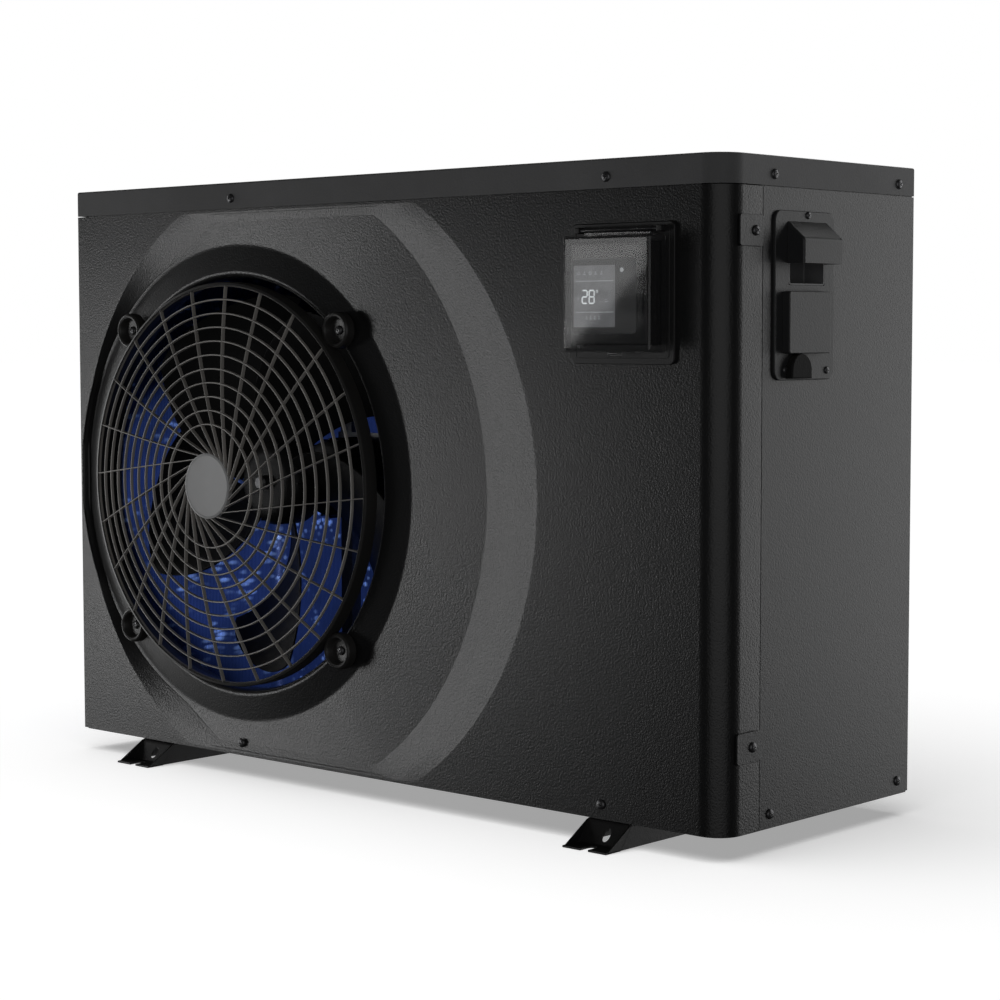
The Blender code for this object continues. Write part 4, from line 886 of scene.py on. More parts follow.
@dataclass
class FrontPanel:
    """The pressed front sheet: fan throat, sloping collar, crescent dish and round right corner."""

    fan_x: float
    fan_z: float
    throat_r: float = 0.226
    throat_back: float = 0.020
    rim_r: float = 0.2325
    collar_r: float = 0.262
    dish: float = 0.007
    columns: int = 320
    left_round: float = 0.0015
    left_return: float = 0.020
    floor_left: Circle = Circle(0.272, 0.301, 0.266)
    floor_right: Circle = Circle(0.2936, 0.3024, 0.3456)
    brim_left: Circle = Circle(0.3400, 0.3024, 0.3330)
    brim_right: Circle = Circle(0.3610, 0.3024, 0.3484)

    def edge_reach(self, angle: float, inset: float) -> float:
        """The distance from the fan's middle to the flat front's edge, along an angle.

        Args:
            angle: The direction.
            inset: How far inside the edge to stop.

        Returns:
            The distance.
        """
        across, up = math.cos(angle), math.sin(angle)
        wide = CASE.width - CASE.corner_r - inset - self.fan_x if across > 0 else (
            self.fan_x - inset - self.left_round)
        high = CASE.panel_top - inset - self.fan_z if up > 0 else self.fan_z - CASE.panel_low - inset
        return min(wide / max(abs(across), 1e-9), high / max(abs(up), 1e-9))

    def depth_at(self, z: float) -> float:
        """The dish's depth at a height: deepest in the middle, nothing at the panel's ends."""
        half = (CASE.panel_top - CASE.panel_low) / 2
        return self.dish * max(0.0, 1.0 - ((z - CASE.panel_low - half) / half) ** 8)

    def section(self, angle: float) -> list[Vector]:
        """One column of the skin, from the throat's back to the panel's edge.

        Args:
            angle: The column's direction from the fan's middle.

        Returns:
            The column's points.
        """
        share = min(max(0.5 + math.cos(angle) / 0.9, 0.0), 1.0)
        share *= share * (3.0 - 2.0 * share)
        floor, brim = (left.reach(angle, self.fan_x, self.fan_z) * (1.0 - share)
                       + right.reach(angle, self.fan_x, self.fan_z) * share
                       for left, right in ((self.floor_left, self.floor_right),
                                           (self.brim_left, self.brim_right)))
        floor = max(min(floor, self.edge_reach(angle, 0.012)), self.collar_r + 0.004)
        brim = max(brim, floor + 0.004)
        rim = [(self.rim_r, 0.0), (self.rim_r + 0.001, 0.012), (self.rim_r + 0.0025, 0.06)]
        collar = [(self.collar_r - 0.003, 0.88), (self.collar_r - 0.001, 0.965),
                  (self.collar_r + 0.0012, 1.0)]
        bend = [(floor - 0.0012, 1.0), (floor - 0.0003, 0.985), (floor + 0.0006, 0.93)]
        wall = [(floor + (brim - floor) * share, 1.0 - share) for share in (0.25, 0.5, 0.75)]
        top = [(brim - 0.0007, 0.06), (brim + 0.0002, 0.012), (brim + 0.0012, 0.0), (brim + 0.004, 0.0)]
        if floor - self.collar_r < 0.006:
            bend = [(floor - 0.0001, 1.0), (floor + 0.0004, 0.985), (floor + 0.0010, 0.93)]
        shaped = rim + collar + bend + wall + top
        across = Vector((math.cos(angle), 0.0, math.sin(angle)))
        middle = Vector((self.fan_x, 0.0, self.fan_z))
        column = [middle + across * (self.throat_r + out) + Vector((0.0, back, 0.0))
                  for out, back in ((0.0, self.throat_back), (0.0, 0.007), (0.0008, 0.0032), (0.0025, 0.0010),
                                    (0.0048, 0.0001))]
        before = self.throat_r + 0.0048
        for index, (radius, share) in enumerate(shaped):
            limit = self.edge_reach(angle, 0.012 * (1.0 - index / len(shaped)))
            radius = min(max(radius, before + 0.00015), limit)
            point = middle + across * radius
            point.y = share * self.depth_at(point.z)
            column.append(point)
            before = radius
        column.append(middle + across * self.edge_reach(angle, 0.0))
        return column

    def angles(self) -> list[float]:
        """Even directions round the fan, with the panel's four corners among them."""
        turns = [2 * math.pi * step / self.columns for step in range(self.columns)]
        for x in (self.left_round, CASE.width - CASE.corner_r):
            for z in (CASE.panel_low, CASE.panel_top):
                corner = math.atan2(z - self.fan_z, x - self.fan_x) % (2 * math.pi)
                turns[round(corner / (2 * math.pi) * self.columns) % self.columns] = corner
        return turns

    def fold(self, piece: Mesh, at_x: float, path: Sequence[Point]) -> None:
        """Carries a side edge of the sheet along a bent path of (x, y) places."""
        with editing(piece):
            pick(piece, Pick.VERTS, lambda co, _: abs(co.x - at_x) < 1e-6 and abs(co.y) < 1e-6)
            for x, y in path:
                bpy.ops.mesh.extrude_region_move()
                mesh = bmesh.from_edit_mesh(piece.data)
                for vert in mesh.verts:
                    if vert.select:
                        vert.co.x, vert.co.y = x, y
                bmesh.update_edit_mesh(piece.data)

    def build(self) -> Mesh:
        """Draws the sheet, folds its sides, gives it thickness and dresses it.

        Returns:
            The panel.
        """
        columns = [self.section(angle) for angle in self.angles()]
        piece = loft(list(zip(*columns)))
        right = CASE.width - CASE.corner_r
        arc = [(right + CASE.corner_r * math.sin(a), CASE.corner_r * (1 - math.cos(a)))
               for a in (math.radians(90 * step / 16) for step in range(1, 17))]
        self.fold(piece, right, [*arc, (CASE.width, CASE.wrap_end - 0.0008),
                                 (CASE.width - 0.0003, CASE.wrap_end)])
        r = self.left_round
        bend = [(r - r * math.sin(a), r - r * math.cos(a))
                for a in (math.radians(30 * step) for step in (1, 2, 3))]
        self.fold(piece, r, [*bend, (0.0, self.left_return)])
        with editing(piece):
            bpy.ops.mesh.select_all(action="SELECT")
            bpy.ops.mesh.normals_make_consistent(inside=False)
            mesh = bmesh.from_edit_mesh(piece.data)
            flat = max(mesh.faces, key=lambda face: face.calc_center_median().x
                       * (abs(face.normal.y) > 0.99))
            if flat.normal.y > 0:
                bpy.ops.mesh.flip_normals()
        modify(piece, "SOLIDIFY", thickness=CASE.sheet, offset=-1.0, use_even_offset=False)
        piece = joined([piece, upstand(self.left_return, right, 0)])
        return dressed(piece, "front_skin", "casing", Finish.panel_paint, stands_for=["front_panel"], angle=50)


@dataclass
class Lid:
    """The lid: a tray upside down with folded corners and a round front right corner."""

    edge: float = 0.0022
    side_edge: float = 0.0015

    def build(self) -> Mesh:
        """Folds and dresses the lid.

        Returns:
            The lid.
        """
        low = CASE.height - CASE.lid_h
        piece = block((0.0, 0.0, low), (CASE.width, CASE.depth, CASE.height))
        with editing(piece):
            pick(piece, Pick.EDGES, lambda co, way: abs(way.z) > 0.9 and co.x > 0.5 and co.y < 0.1)
            bpy.ops.mesh.bevel(offset=CASE.corner_r, segments=16, affect="EDGES")
            pick(piece, Pick.EDGES, lambda co, way: abs(way.z) > 0.9 and (co.x < 0.1 or co.y > 0.3))
            bpy.ops.mesh.bevel(offset=self.side_edge, segments=3, affect="EDGES")
            pick(piece, Pick.FACES, lambda co, normal: normal.z < -0.9)
            bpy.ops.mesh.delete(type="FACE")
            pick(piece, Pick.EDGES, lambda co, way: co.z > CASE.height - 1e-5 and abs(way.z) < 0.1)
            bpy.ops.mesh.bevel(offset=self.edge, segments=4, affect="EDGES")
        modify(piece, "SOLIDIFY", thickness=CASE.sheet, offset=-1.0, use_even_offset=True)
        return dressed(piece, "lid_skin", "casing", Finish.lid_paint, stands_for=["lid"])


@dataclass
class SidePanels:
    """The service panel on the right, the rear panel and the post at the back left."""

    bend: float = 0.002
    return_w: float = 0.014
    port_gap: float = 0.0275

    @staticmethod
    def angle_sheet(low: Sequence[float], high: Sequence[float], lost: Sequence[Vector], bend: float) -> Mesh:
        """A sheet bent round one upright corner, from a block without its other sides.

        Args:
            low: The block's lowest corner.
            high: Its highest corner.
            lost: The directions of the upright sides that go.
            bend: The corner's radius.

        Returns:
            The mesh.
        """
        piece = block(low, high)
        with editing(piece):
            pick(piece, Pick.FACES, lambda co, normal: abs(normal.z) > 0.9 or any(
                normal.dot(way) > 0.9 for way in lost))
            bpy.ops.mesh.delete(type="FACE")
            pick_folds(piece)
            bpy.ops.mesh.bevel(offset=bend, segments=5, affect="EDGES")
        return modify(piece, "SOLIDIFY", thickness=CASE.sheet, offset=-1.0, use_even_offset=True)

    def build(self) -> None:
        """Builds and dresses the three sheets."""
        forward, leftward = Vector((0, -1, 0)), Vector((-1, 0, 0))
        service = self.angle_sheet((CASE.width - self.return_w, CASE.wrap_end + 0.0006, CASE.panel_low),
                                   (CASE.width, CASE.depth, CASE.panel_top), (forward, leftward), self.bend)
        pocket_low, pocket_high = spot("finger_pocket")
        carve(service, block((CASE.width - 0.01, pocket_low.y - 0.0003, pocket_low.z - 0.0003),
                             (CASE.width + 0.01, pocket_high.y + 0.0003, pocket_high.z + 0.0003)))
        service = joined([service, upstand(CASE.wrap_end + 0.002, CASE.depth - 0.0034, 1)])
        dressed(service, "service_skin", "casing", Finish.casing_paint, stands_for=["service_panel"])
        low, high = spot("rear_panel")
        rear = rounded_block(low, high, 0.0005, 2)
        for port in ("inlet_port", "outlet_port"):
            near, far = spot(port)
            middle = (near + far) / 2
            carve(rear, lathe([(0.0, -0.02), (self.port_gap, -0.02), (self.port_gap, 0.02), (0.0, 0.02)],
                              48, facing=Facing.BACK, centre=(middle.x, CASE.depth, middle.z)))
        rear = joined([rear, upstand(low.x + 0.002, CASE.width - 0.0019, 2)])
        dressed(rear, "rear_skin", "casing", Finish.casing_paint, stands_for=["rear_panel"])
        low, high = spot("rear_left_post")
        post = self.angle_sheet(low, high, (forward, -leftward), self.bend)
        dressed(post, "back_left_post", "casing", Finish.casing_paint, stands_for=["rear_left_post"])


@dataclass
class CoilGuard:
    """A welded wire guard: upright and level wires on a flat frame."""

    node: str
    name: str
    pitch: float = 0.0245
    wire_r: float = 0.0011

    def wires(self, low: Vector, high: Vector, axis: int) -> list[Mesh]:
        """The guard's wires, one modelled for each direction and the rest copied.

        Args:
            low: The guard's lowest corner.
            high: Its highest corner.
            axis: 0 if it runs left to right, 1 if front to back.

        Returns:
            The wires.
        """
        out = 1 - axis
        middle = (low[out] + high[out]) / 2
        pieces = []
        for run, step_axis, shift in ((2, axis, 0.0), (axis, 2, self.wire_r * 0.9)):
            start, end = Vector(low), Vector(low)
            start[out] = end[out] = middle - shift
            end[run] = high[run]
            first = tube([start, end], self.wire_r, 6)
            span = high[step_axis] - low[step_axis] - 2 * self.wire_r
            count = round(span / self.pitch)
            for index in range(count + 1):
                move = Vector((0.0, 0.0, 0.0))
                move[step_axis] = self.wire_r + span * index / count
                pieces.append(copied(first, Matrix.Translation(move)))
            bpy.data.objects.remove(first)
        return pieces

    def build(self) -> Mesh:
        """Builds and dresses the guard.

        Returns:
            The guard.
        """
        low, high = spot(self.node)
        axis = 0 if high.x - low.x > high.y - low.y else 1
        edge = Vector((0.004, 0.004, 0.004))
        edge[1 - axis] = 0.0
        rim = block(low, high)
        rim = carve(rim, block(low + edge - Vector((axis * 0.01, (1 - axis) * 0.01, 0.0)),
                               high - edge + Vector((axis * 0.01, (1 - axis) * 0.01, 0.0))))
        piece = joined([soften(rim, 0.0004, 2), *self.wires(low, high, axis)])
        return dressed(piece, self.name, "casing", Finish.guard_paint, stands_for=[self.node])


@dataclass
class Foot:
    """A bent foot strip with a slotted tab and a drilled ramp at each end, and flanges at its sides."""

    node: str
    name: str
    width: float = 0.054
    sheet: float = 0.002
    tab: float = 0.022
    out: float = 0.035
    slot_half: float = 0.005
    hole_r: float = 0.0042

    def flange(self, x: float) -> Mesh:
        """One side flange, down to the ground from tab to tab.

        Args:
            x: Its outer face's place.

        Returns:
            The mesh.
        """
        ground = spot(self.node)[0].z + 0.0006
        front = self.out - self.tab * 0.1
        corners = [(-front, ground), (CASE.depth + front, ground),
                   (CASE.depth - 0.002, -0.0012), (0.002, -0.0012)]
        rings = [[Vector((x + shift, y, z)) for y, z in corners] for shift in (0.0, self.sheet)]
        return face_out(loft(rings, filled=True))

    def build(self) -> Mesh:
        """Bends, cuts and dresses the foot.

        Returns:
            The foot.
        """
        low, high = spot(self.node)
        x = (low.x + high.x) / 2
        half = self.width / 2
        path = [(-self.out, low.z), (-self.out + self.tab, low.z), (-self.out + self.tab + 0.0015, low.z + 0.0008),
                (0.0025, high.z - self.sheet - 0.0008), (0.004, high.z - self.sheet),
                (CASE.depth - 0.004, high.z - self.sheet), (CASE.depth - 0.0025, high.z - self.sheet - 0.0008),
                (CASE.depth + self.out - self.tab - 0.0015, low.z + 0.0008),
                (CASE.depth + self.out - self.tab, low.z), (CASE.depth + self.out, low.z)]
        rings = [[Vector((x - half, y, z)), Vector((x + half, y, z)), Vector((x + half, y, z + self.sheet)),
                  Vector((x - half, y, z + self.sheet))] for y, z in path]
        piece = soften(face_out(loft(rings, filled=True)), 0.0005, 2, 60)
        for y in (-self.out, CASE.depth + self.out):
            round_y = y + (0.012 if y < 0 else -0.012)
            carve(piece, block((x - self.slot_half, min(y - 0.01, round_y), low.z - 0.01),
                               (x + self.slot_half, max(y + 0.01, round_y), low.z + 0.01)))
            carve(piece, lathe([(0.0, -0.01), (self.slot_half, -0.01), (self.slot_half, 0.01), (0.0, 0.01)], 24,
                               centre=(x, round_y, low.z)))
        for y in (-0.0055, CASE.depth + 0.0055):
            carve(piece, lathe([(0.0, -0.02), (self.hole_r, -0.02), (self.hole_r, 0.02), (0.0, 0.02)], 24,
                               centre=(x + 0.004, y, -0.012)))
        flanges = [self.flange(edge) for edge in (x - half, x + half - self.sheet)]
        piece = joined([piece, *flanges])
        return dressed(piece, self.name, "casing", Finish.black_metal, stands_for=[self.node])


@dataclass
class Fasteners:
    """Pan-head screws with a cross recess, modelled once and copied to every place."""

    head_r: float = 0.005
    head_h: float = 0.0025
    recess: float = 0.0046
    blade: float = 0.0010
    recess_depth: float = 0.0013

    def head(self) -> Mesh:
        """The head, with its face up and its seat at height 0.

        Returns:
            The mesh.
        """
        r, h = self.head_r, self.head_h
        piece = lathe([(0.0, h), (r * 0.45, h * 0.97), (r * 0.72, h * 0.85), (r * 0.9, h * 0.62), (r * 0.98, h * 0.35),
                       (r, h * 0.1), (r * 0.96, 0.0), (0.0, 0.0)], 28)
        for size in ((self.recess, self.blade), (self.blade, self.recess)):
            tool = block((-size[0] / 2, -size[1] / 2, h - self.recess_depth),
                         (size[0] / 2, size[1] / 2, h + 0.002))
            carve(piece, tool)
        return soften(piece, 0.00012, 1, 40)

    def build(self) -> None:
        """Copies the head to the panels' screws and to the nodes' places."""
        head = self.head()
        base_z, lid_z = 0.0145, 0.6128
        places = [(name, spot(name), Facing.FRONT) for name in
                  ("lid_screw_1", "lid_screw_2", "base_screw_1", "base_screw_2", "grille_screw_1",
                   "grille_screw_2", "grille_screw_3", "grille_screw_4")]
        places += [(name, spot(name), Facing.RIGHT) for name in ("upper_tab_screw", "lower_tab_screw")]
        for index, (name, (low, high), facing) in enumerate(places):
            middle = (low + high) / 2
            at = Vector((middle.x, low.y + self.head_h, middle.z)) if facing is Facing.FRONT else (
                Vector((high.x - self.head_h, middle.y, middle.z)))
            spin = Matrix.Rotation(math.radians(23 + 47 * index), 4, "Z")
            twin = copied(head, Matrix.Translation(at) @ facing.matrix() @ spin)
            dressed(twin, name + "_head", "casing", Finish.screw_steel, stands_for=[name])
        loose = [("lid_side_screw_1", (CASE.width, 0.076, lid_z)), ("lid_side_screw_2", (CASE.width, 0.287, lid_z)),
                 ("base_side_screw_1", (CASE.width, 0.075, base_z)),
                 ("base_side_screw_2", (CASE.width, 0.295, base_z))]
        plate_face = spot("handle_plate")[1].x
        loose += [("handle_screw_1", (plate_face, 0.1265, 0.5764)), ("handle_screw_2", (plate_face, 0.1586, 0.4308)),
                  ("handle_screw_3", (plate_face, 0.0910, 0.4317))]
        rear = [("rear_screw_1", (0.655, CASE.depth, base_z)), ("rear_screw_2", (0.900, CASE.depth, base_z)),
                ("lid_rear_screw_1", (0.140, CASE.depth, lid_z)), ("lid_rear_screw_2", (0.797, CASE.depth, lid_z))]
        for index, (name, at) in enumerate(loose + rear):
            facing = Facing.RIGHT if index < len(loose) else Facing.BACK
            small = Matrix.Scale(0.72 if name.startswith("handle") else 1.0, 4)
            spin = Matrix.Rotation(math.radians(11 + 31 * index), 4, "Z")
            twin = copied(head, Matrix.Translation(at) @ facing.matrix() @ spin @ small)
            dressed(twin, name, "casing", Finish.screw_steel)
        bpy.data.objects.remove(head)


@dataclass
class CornerTabs:
    """The two screwed tabs that hold the front panel's flange to the service panel."""

    edge: float = 0.0006
    corner_r: float = 0.0025

    def build(self) -> None:
        """Builds and dresses both tabs."""
        for node in ("upper_tab", "lower_tab"):
            low, high = spot(node)
            middle = (low + high) / 2
            outline = rounded_outline((high.y - low.y) / 2, (high.z - low.z) / 2, self.corner_r, 4)
            piece = slab(outline, high.x - low.x, self.edge, Facing.UP, (0.0, 0.0, 0.0))
            piece.data.transform(Matrix.Translation((low.x, middle.y, middle.z)) @ side_on())
            dressed(piece, node + "_plate", "casing", Finish.casing_paint, stands_for=[node])


def side_on() -> Matrix:
    """The turn that lays an outline's across along the depth, its up along the height, facing right."""
    return Matrix(((0, 0, 1, 0), (1, 0, 0, 0), (0, 1, 0, 0), (0, 0, 0, 1)))


# ---------------------------------------------------------------- fan guard, fan and evaporator

@dataclass
class FanGuard:
    """The domed guard: rings and swirled ribs, a hub disc, a deep band and four screw cups."""

    fan_x: float
    fan_z: float
    hub_r: float = 0.0356
    ring_r: float = 0.217
    ring_y: float = -0.018
    front: float = -0.0425
    rings: int = 11
    ring_pitch: float = 0.015
    ribs: int = 24
    offset: float = 0.0305
    ring_w: float = 0.0020
    rib_w: float = 0.0016
    depth: float = 0.0042
    band_r: float = 0.221
    band_back: float = -0.0020
    cup_r: float = 0.0195
    cup_reach: float = 0.238
    first_rib: float = -1.2

    def dome(self, radius: float) -> float:
        """How far forward the guard's front is at a distance from its middle."""
        share = (radius - self.hub_r) / (self.ring_r - self.hub_r)
        return self.front + 0.0012 + (self.ring_y - self.front - 0.0012) * max(0.0, share) ** 1.7

    def ring(self, radius: float) -> Mesh:
        """One round-fronted ring."""
        half, y = self.ring_w / 2, -self.dome(radius) - 0.0003
        section = [(-half, -self.depth * 0.75), (-half, -0.0009), (-half * 0.5, 0.0), (half * 0.5, 0.0),
                   (half, -0.0009), (half, -self.depth * 0.75)]
        profile = [(radius + out, y + rise) for out, rise in section]
        return lathe(profile, 144, closed=True, facing=Facing.FRONT)

    def rib(self) -> Mesh:
        """One swirled rib from the hub to the outer ring."""
        stations = 30
        path = []
        for step in range(stations + 1):
            radius = self.hub_r - 0.003 + (self.ring_r + 0.002 - self.hub_r + 0.003) * step / stations
            a = -abs(math.acos(self.offset / self.ring_r) - math.acos(self.offset / radius))
            path.append(Vector((radius * math.cos(a), self.dome(radius), radius * math.sin(a))))
        rings = []
        for index, point in enumerate(path):
            ahead = path[min(index + 1, stations)] - path[max(index - 1, 0)]
            side = Vector((-ahead.z, 0.0, ahead.x)).normalized() * (self.rib_w / 2)
            rings.append([point + side * across + Vector((0.0, back, 0.0)) for across, back in (
                (-1.0, self.depth), (-1.0, 0.0009), (-0.45, 0.0), (0.45, 0.0), (1.0, 0.0009), (1.0, self.depth))])
        return face_out(loft(rings, filled=True))

    def cup(self) -> Mesh:
        """One screw cup: a round wall with a rolled rim and a floor for the screw."""
        r = self.cup_r
        profile = [(0.0, 0.0038), (r * 0.52, 0.0038), (r * 0.62, 0.0046), (r * 0.70, 0.0096), (r * 0.76, 0.0112),
                   (r * 0.86, 0.0118), (r * 0.95, 0.0110), (r, 0.0094), (r, 0.0006), (0.0, 0.0006)]
        return lathe(profile, 48)

    def build(self) -> None:
        """Builds the guard in its three finishes and dresses it."""
        middle = Matrix.Translation((self.fan_x, 0.0, self.fan_z))
        rings = [self.ring(self.ring_r - self.ring_pitch * index) for index in range(self.rings)]
        rib = self.rib()
        ribs = [copied(rib, Matrix.Rotation(-math.radians(self.first_rib + 360 * index / self.ribs), 4, "Y"))
                for index in range(self.ribs)]
        bpy.data.objects.remove(rib)
        wires = joined([*rings, *ribs])
        wires.data.transform(middle)
        # The wires' pale finish is painted highlight; the band and cups keep the guard's dark plastic.
        dressed(wires, "guard_wires", "casing", Finish.grille_plastic, stands_for=["fan_grille"])
        y = -self.ring_y
        band = lathe([(self.ring_r - 0.0008, y - 0.0005), (self.ring_r + 0.0008, y + 0.0004),
                      (self.band_r - 0.0008, y - 0.0004), (self.band_r, y - 0.0018), (self.band_r, -self.band_back),
                      (self.band_r - 0.0022, -self.band_back), (self.ring_r + 0.0004, y - 0.006),
                      (self.ring_r - 0.0008, y - 0.005)], 144, closed=True, facing=Facing.FRONT)
        reach = self.cup_reach * math.cos(math.radians(45))
        cup = self.cup()
        cups = [copied(cup, Matrix.Translation((i * reach, 0.0, k * reach)) @ Facing.FRONT.matrix())
                for i in (-1, 1) for k in (-1, 1)]
        bpy.data.objects.remove(cup)
        band = joined([band, *cups])
        band.data.transform(middle)
        dressed(band, "guard_band", "casing", Finish.ring_plastic,
                stands_for=["fan_grille"])
        f = -self.front
        hub = lathe([(0.0, f - 0.0006), (self.hub_r * 0.90, f - 0.0006), (self.hub_r * 0.94, f),
                     (self.hub_r, f - 0.0008), (self.hub_r, f - 0.006), (0.0, f - 0.006)], 72,
                    facing=Facing.FRONT)
        hub.data.transform(middle)
        dressed(hub, "guard_hub", "casing", Finish.hub_plastic,
                stands_for=["fan_grille"])


@dataclass
class FanRotor:
    """The fan: five broad swept blades on a ribbed cup."""

    fan_x: float
    fan_z: float
    blade_y: float = 0.066
    hub_r: float = 0.048
    tip_r: float = 0.212
    sweep: float = 38.0
    start: float = 80.0
    thickness: float = 0.0026
    blades: int = 5

    def blade(self) -> Mesh:
        """One blade: a grid bent into its sweep, pitch and camber, then thickened."""
        bpy.ops.object.select_all(action="DESELECT")
        bpy.ops.mesh.primitive_grid_add(x_subdivisions=24, y_subdivisions=16, size=1.0)
        piece = bpy.context.object
        root = self.hub_r - 0.004
        for vert in piece.data.vertices:
            out, across = vert.co.x + 0.5, vert.co.y
            out *= 1.0 - 0.05 * abs(2 * across) ** 5 * out
            radius = root + out * (self.tip_r - root)
            width = math.radians(54 - 4 * out)
            pitch = math.radians(40 - 18 * out)
            a = math.radians(self.start) - math.radians(self.sweep) * out + across * width
            back = -across * width * radius * math.tan(pitch) - 0.006 * (1 - (2 * across) ** 2) * out
            vert.co = (radius * math.cos(a), back, radius * math.sin(a))
        modify(piece, "SOLIDIFY", thickness=self.thickness, offset=0.0)
        return soften(face_out(piece), 0.0009, 2, 50)

    def build(self) -> Mesh:
        """Builds and dresses the rotor.

        Returns:
            The rotor.
        """
        blade = self.blade()
        blades = [copied(blade, Matrix.Rotation(-2 * math.pi * index / self.blades, 4, "Y"))
                  for index in range(self.blades)]
        bpy.data.objects.remove(blade)
        r = self.hub_r
        hub = lathe([(0.0115, 0.0215), (0.030, 0.0215), (0.037, 0.0205), (0.043, 0.016), (r, 0.008), (r, -0.0218),
                     (r - 0.0025, -0.0218), (r - 0.0025, 0.006), (0.036, 0.017), (0.0115, 0.0185)], 64,
                    closed=True, facing=Facing.FRONT)
        boss = lathe([(0.0043, 0.0215), (0.0118, 0.0215), (0.0118, -0.020), (0.0043, -0.020)], 32, closed=True,
                     facing=Facing.FRONT)
        rib = rounded_block((0.0115, -0.016, -0.0009), (r - 0.002, 0.018, 0.0009), 0.0004, 2)
        ribs = [copied(rib, Matrix.Rotation(2 * math.pi * index / 10, 4, "Y")) for index in range(10)]
        bpy.data.objects.remove(rib)
        piece = joined([hub, boss, *ribs, *blades])
        piece.data.transform(Matrix.Translation((self.fan_x, self.blade_y, self.fan_z)))
        return dressed(piece, "rotor", "fan", Finish.fan_plastic, stands_for=["fan_rotor"])


@dataclass
class Motor:
    """The fan motor: a round body with cooling ribs and end bells."""

    ribs: int = 20

    def build(self) -> Mesh:
        """Builds and dresses the motor.

        Returns:
            The motor.
        """
        low, high = spot("fan_motor")
        middle = (low + high) / 2
        half, r = (high.y - low.y) / 2, (high.x - low.x) / 2
        body = lathe([(0.0, half), (0.011, half), (0.012, half - 0.001), (0.012, half - 0.006),
                      (r - 0.010, half - 0.0065), (r - 0.004, half - 0.009), (r - 0.002, half - 0.014),
                      (r - 0.002, -half + 0.008), (r - 0.006, -half + 0.001), (r - 0.008, -half), (0.0, -half)],
                     64, facing=Facing.FRONT)
        rib = rounded_block((r - 0.004, -half + 0.012, -0.0009), (r, half - 0.018, 0.0009), 0.0004, 2)
        ribs = [copied(rib, Matrix.Rotation(2 * math.pi * index / self.ribs, 4, "Y"))
                for index in range(self.ribs)]
        bpy.data.objects.remove(rib)
        piece = joined([body, *ribs])
        piece.data.transform(Matrix.Translation(middle))
        return dressed(piece, "motor_body", "casing", Finish.fan_plastic,
                       stands_for=["fan_motor"])


@dataclass
class Evaporator:
    """The evaporator: upright fins round an L-shaped core, with copper bends at its open end."""

    thick: float = 0.036
    pitch: float = 0.0023
    fin: float = 0.0005
    proud: float = 0.0016
    bend_r: float = 0.050
    pipe_r: float = 0.004
    pipe_pitch: float = 0.040

    def core_outline(self, inset: float, low: Vector, high: Vector, thick: float) -> list[Point]:
        """The plan of the L-shaped core, drawn in from the coil's faces.

        Args:
            inset: How far inside the faces.
            low: The coil's lowest corner.
            high: Its highest corner.
            thick: The coil's thickness.

        Returns:
            The plan's points, anticlockwise.
        """
        outer, inner = self.bend_r - inset, self.bend_r - thick + inset
        cx, cy = low.x + self.bend_r, high.y - self.bend_r
        turns = [math.radians(90 + 90 * step / 8) for step in range(9)]
        front = [(cx + inner * math.cos(a), cy + inner * math.sin(a)) for a in turns]
        back = [(cx + outer * math.cos(a), cy + outer * math.sin(a)) for a in reversed(turns)]
        return [(high.x, high.y - thick + inset), *front, (low.x + thick - inset, low.y), (low.x + inset, low.y),
                *back, (high.x, high.y - inset)]

    def build(self) -> None:
        """Builds the core, the fins and the end bends, and dresses them."""
        low, high = spot("evaporator_coil")
        thick = self.thick
        plan = self.core_outline(self.proud, low, high, thick)
        core = face_out(loft([[Vector((x, y, z)) for x, y in plan] for z in (low.z + 0.001, high.z - 0.001)],
                             filled=True))
        fin = block((-self.fin / 2, -thick / 2, low.z), (self.fin / 2, thick / 2, high.z))
        pieces = [core]
        x = low.x + self.bend_r + self.pitch / 2
        while x < high.x:
            pieces.append(copied(fin, Matrix.Translation((x, high.y - thick / 2, 0.0))))
            x += self.pitch
        y = low.y + self.pitch / 2
        quarter = Matrix.Rotation(math.radians(90), 4, "Z")
        while y < high.y - self.bend_r:
            pieces.append(copied(fin, Matrix.Translation((low.x + thick / 2, y, 0.0)) @ quarter))
            y += self.pitch
        centre = Vector((low.x + self.bend_r, high.y - self.bend_r, 0.0))
        steps = 28
        for step in range(steps + 1):
            a = math.radians(90 * step / steps)
            turn = Matrix.Rotation(a, 4, "Z")
            middle = centre + turn @ Vector((0.0, self.bend_r - thick / 2, 0.0))
            pieces.append(copied(fin, Matrix.Translation(middle) @ turn))
        bpy.data.objects.remove(fin)
        dressed(joined(pieces), "coil_fins", "casing", Finish.blue_fins,
                stands_for=["evaporator_coil"], angle=20)
        turns = [math.radians(15 * step) for step in range(13)]
        reach = 0.012
        path = [Vector((high.x + reach * math.sin(a) * 0.9, high.y - thick / 2, reach * math.cos(a)))
                for a in turns]
        bend = tube([Vector((high.x - 0.004, path[0].y, path[0].z)), *path,
                     Vector((high.x - 0.004, path[-1].y, path[-1].z))], self.pipe_r, 10)
        count = int((high.z - low.z - 0.04) / self.pipe_pitch)
        bends = [copied(bend, Matrix.Translation((0.0, 0.0, low.z + 0.03 + self.pipe_pitch * index)))
                 for index in range(count)]
        bpy.data.objects.remove(bend)
        dressed(joined(bends), "coil_bends", "casing", Finish.copper, stands_for=["evaporator_coil"])


# ---------------------------------------------------------------- controller

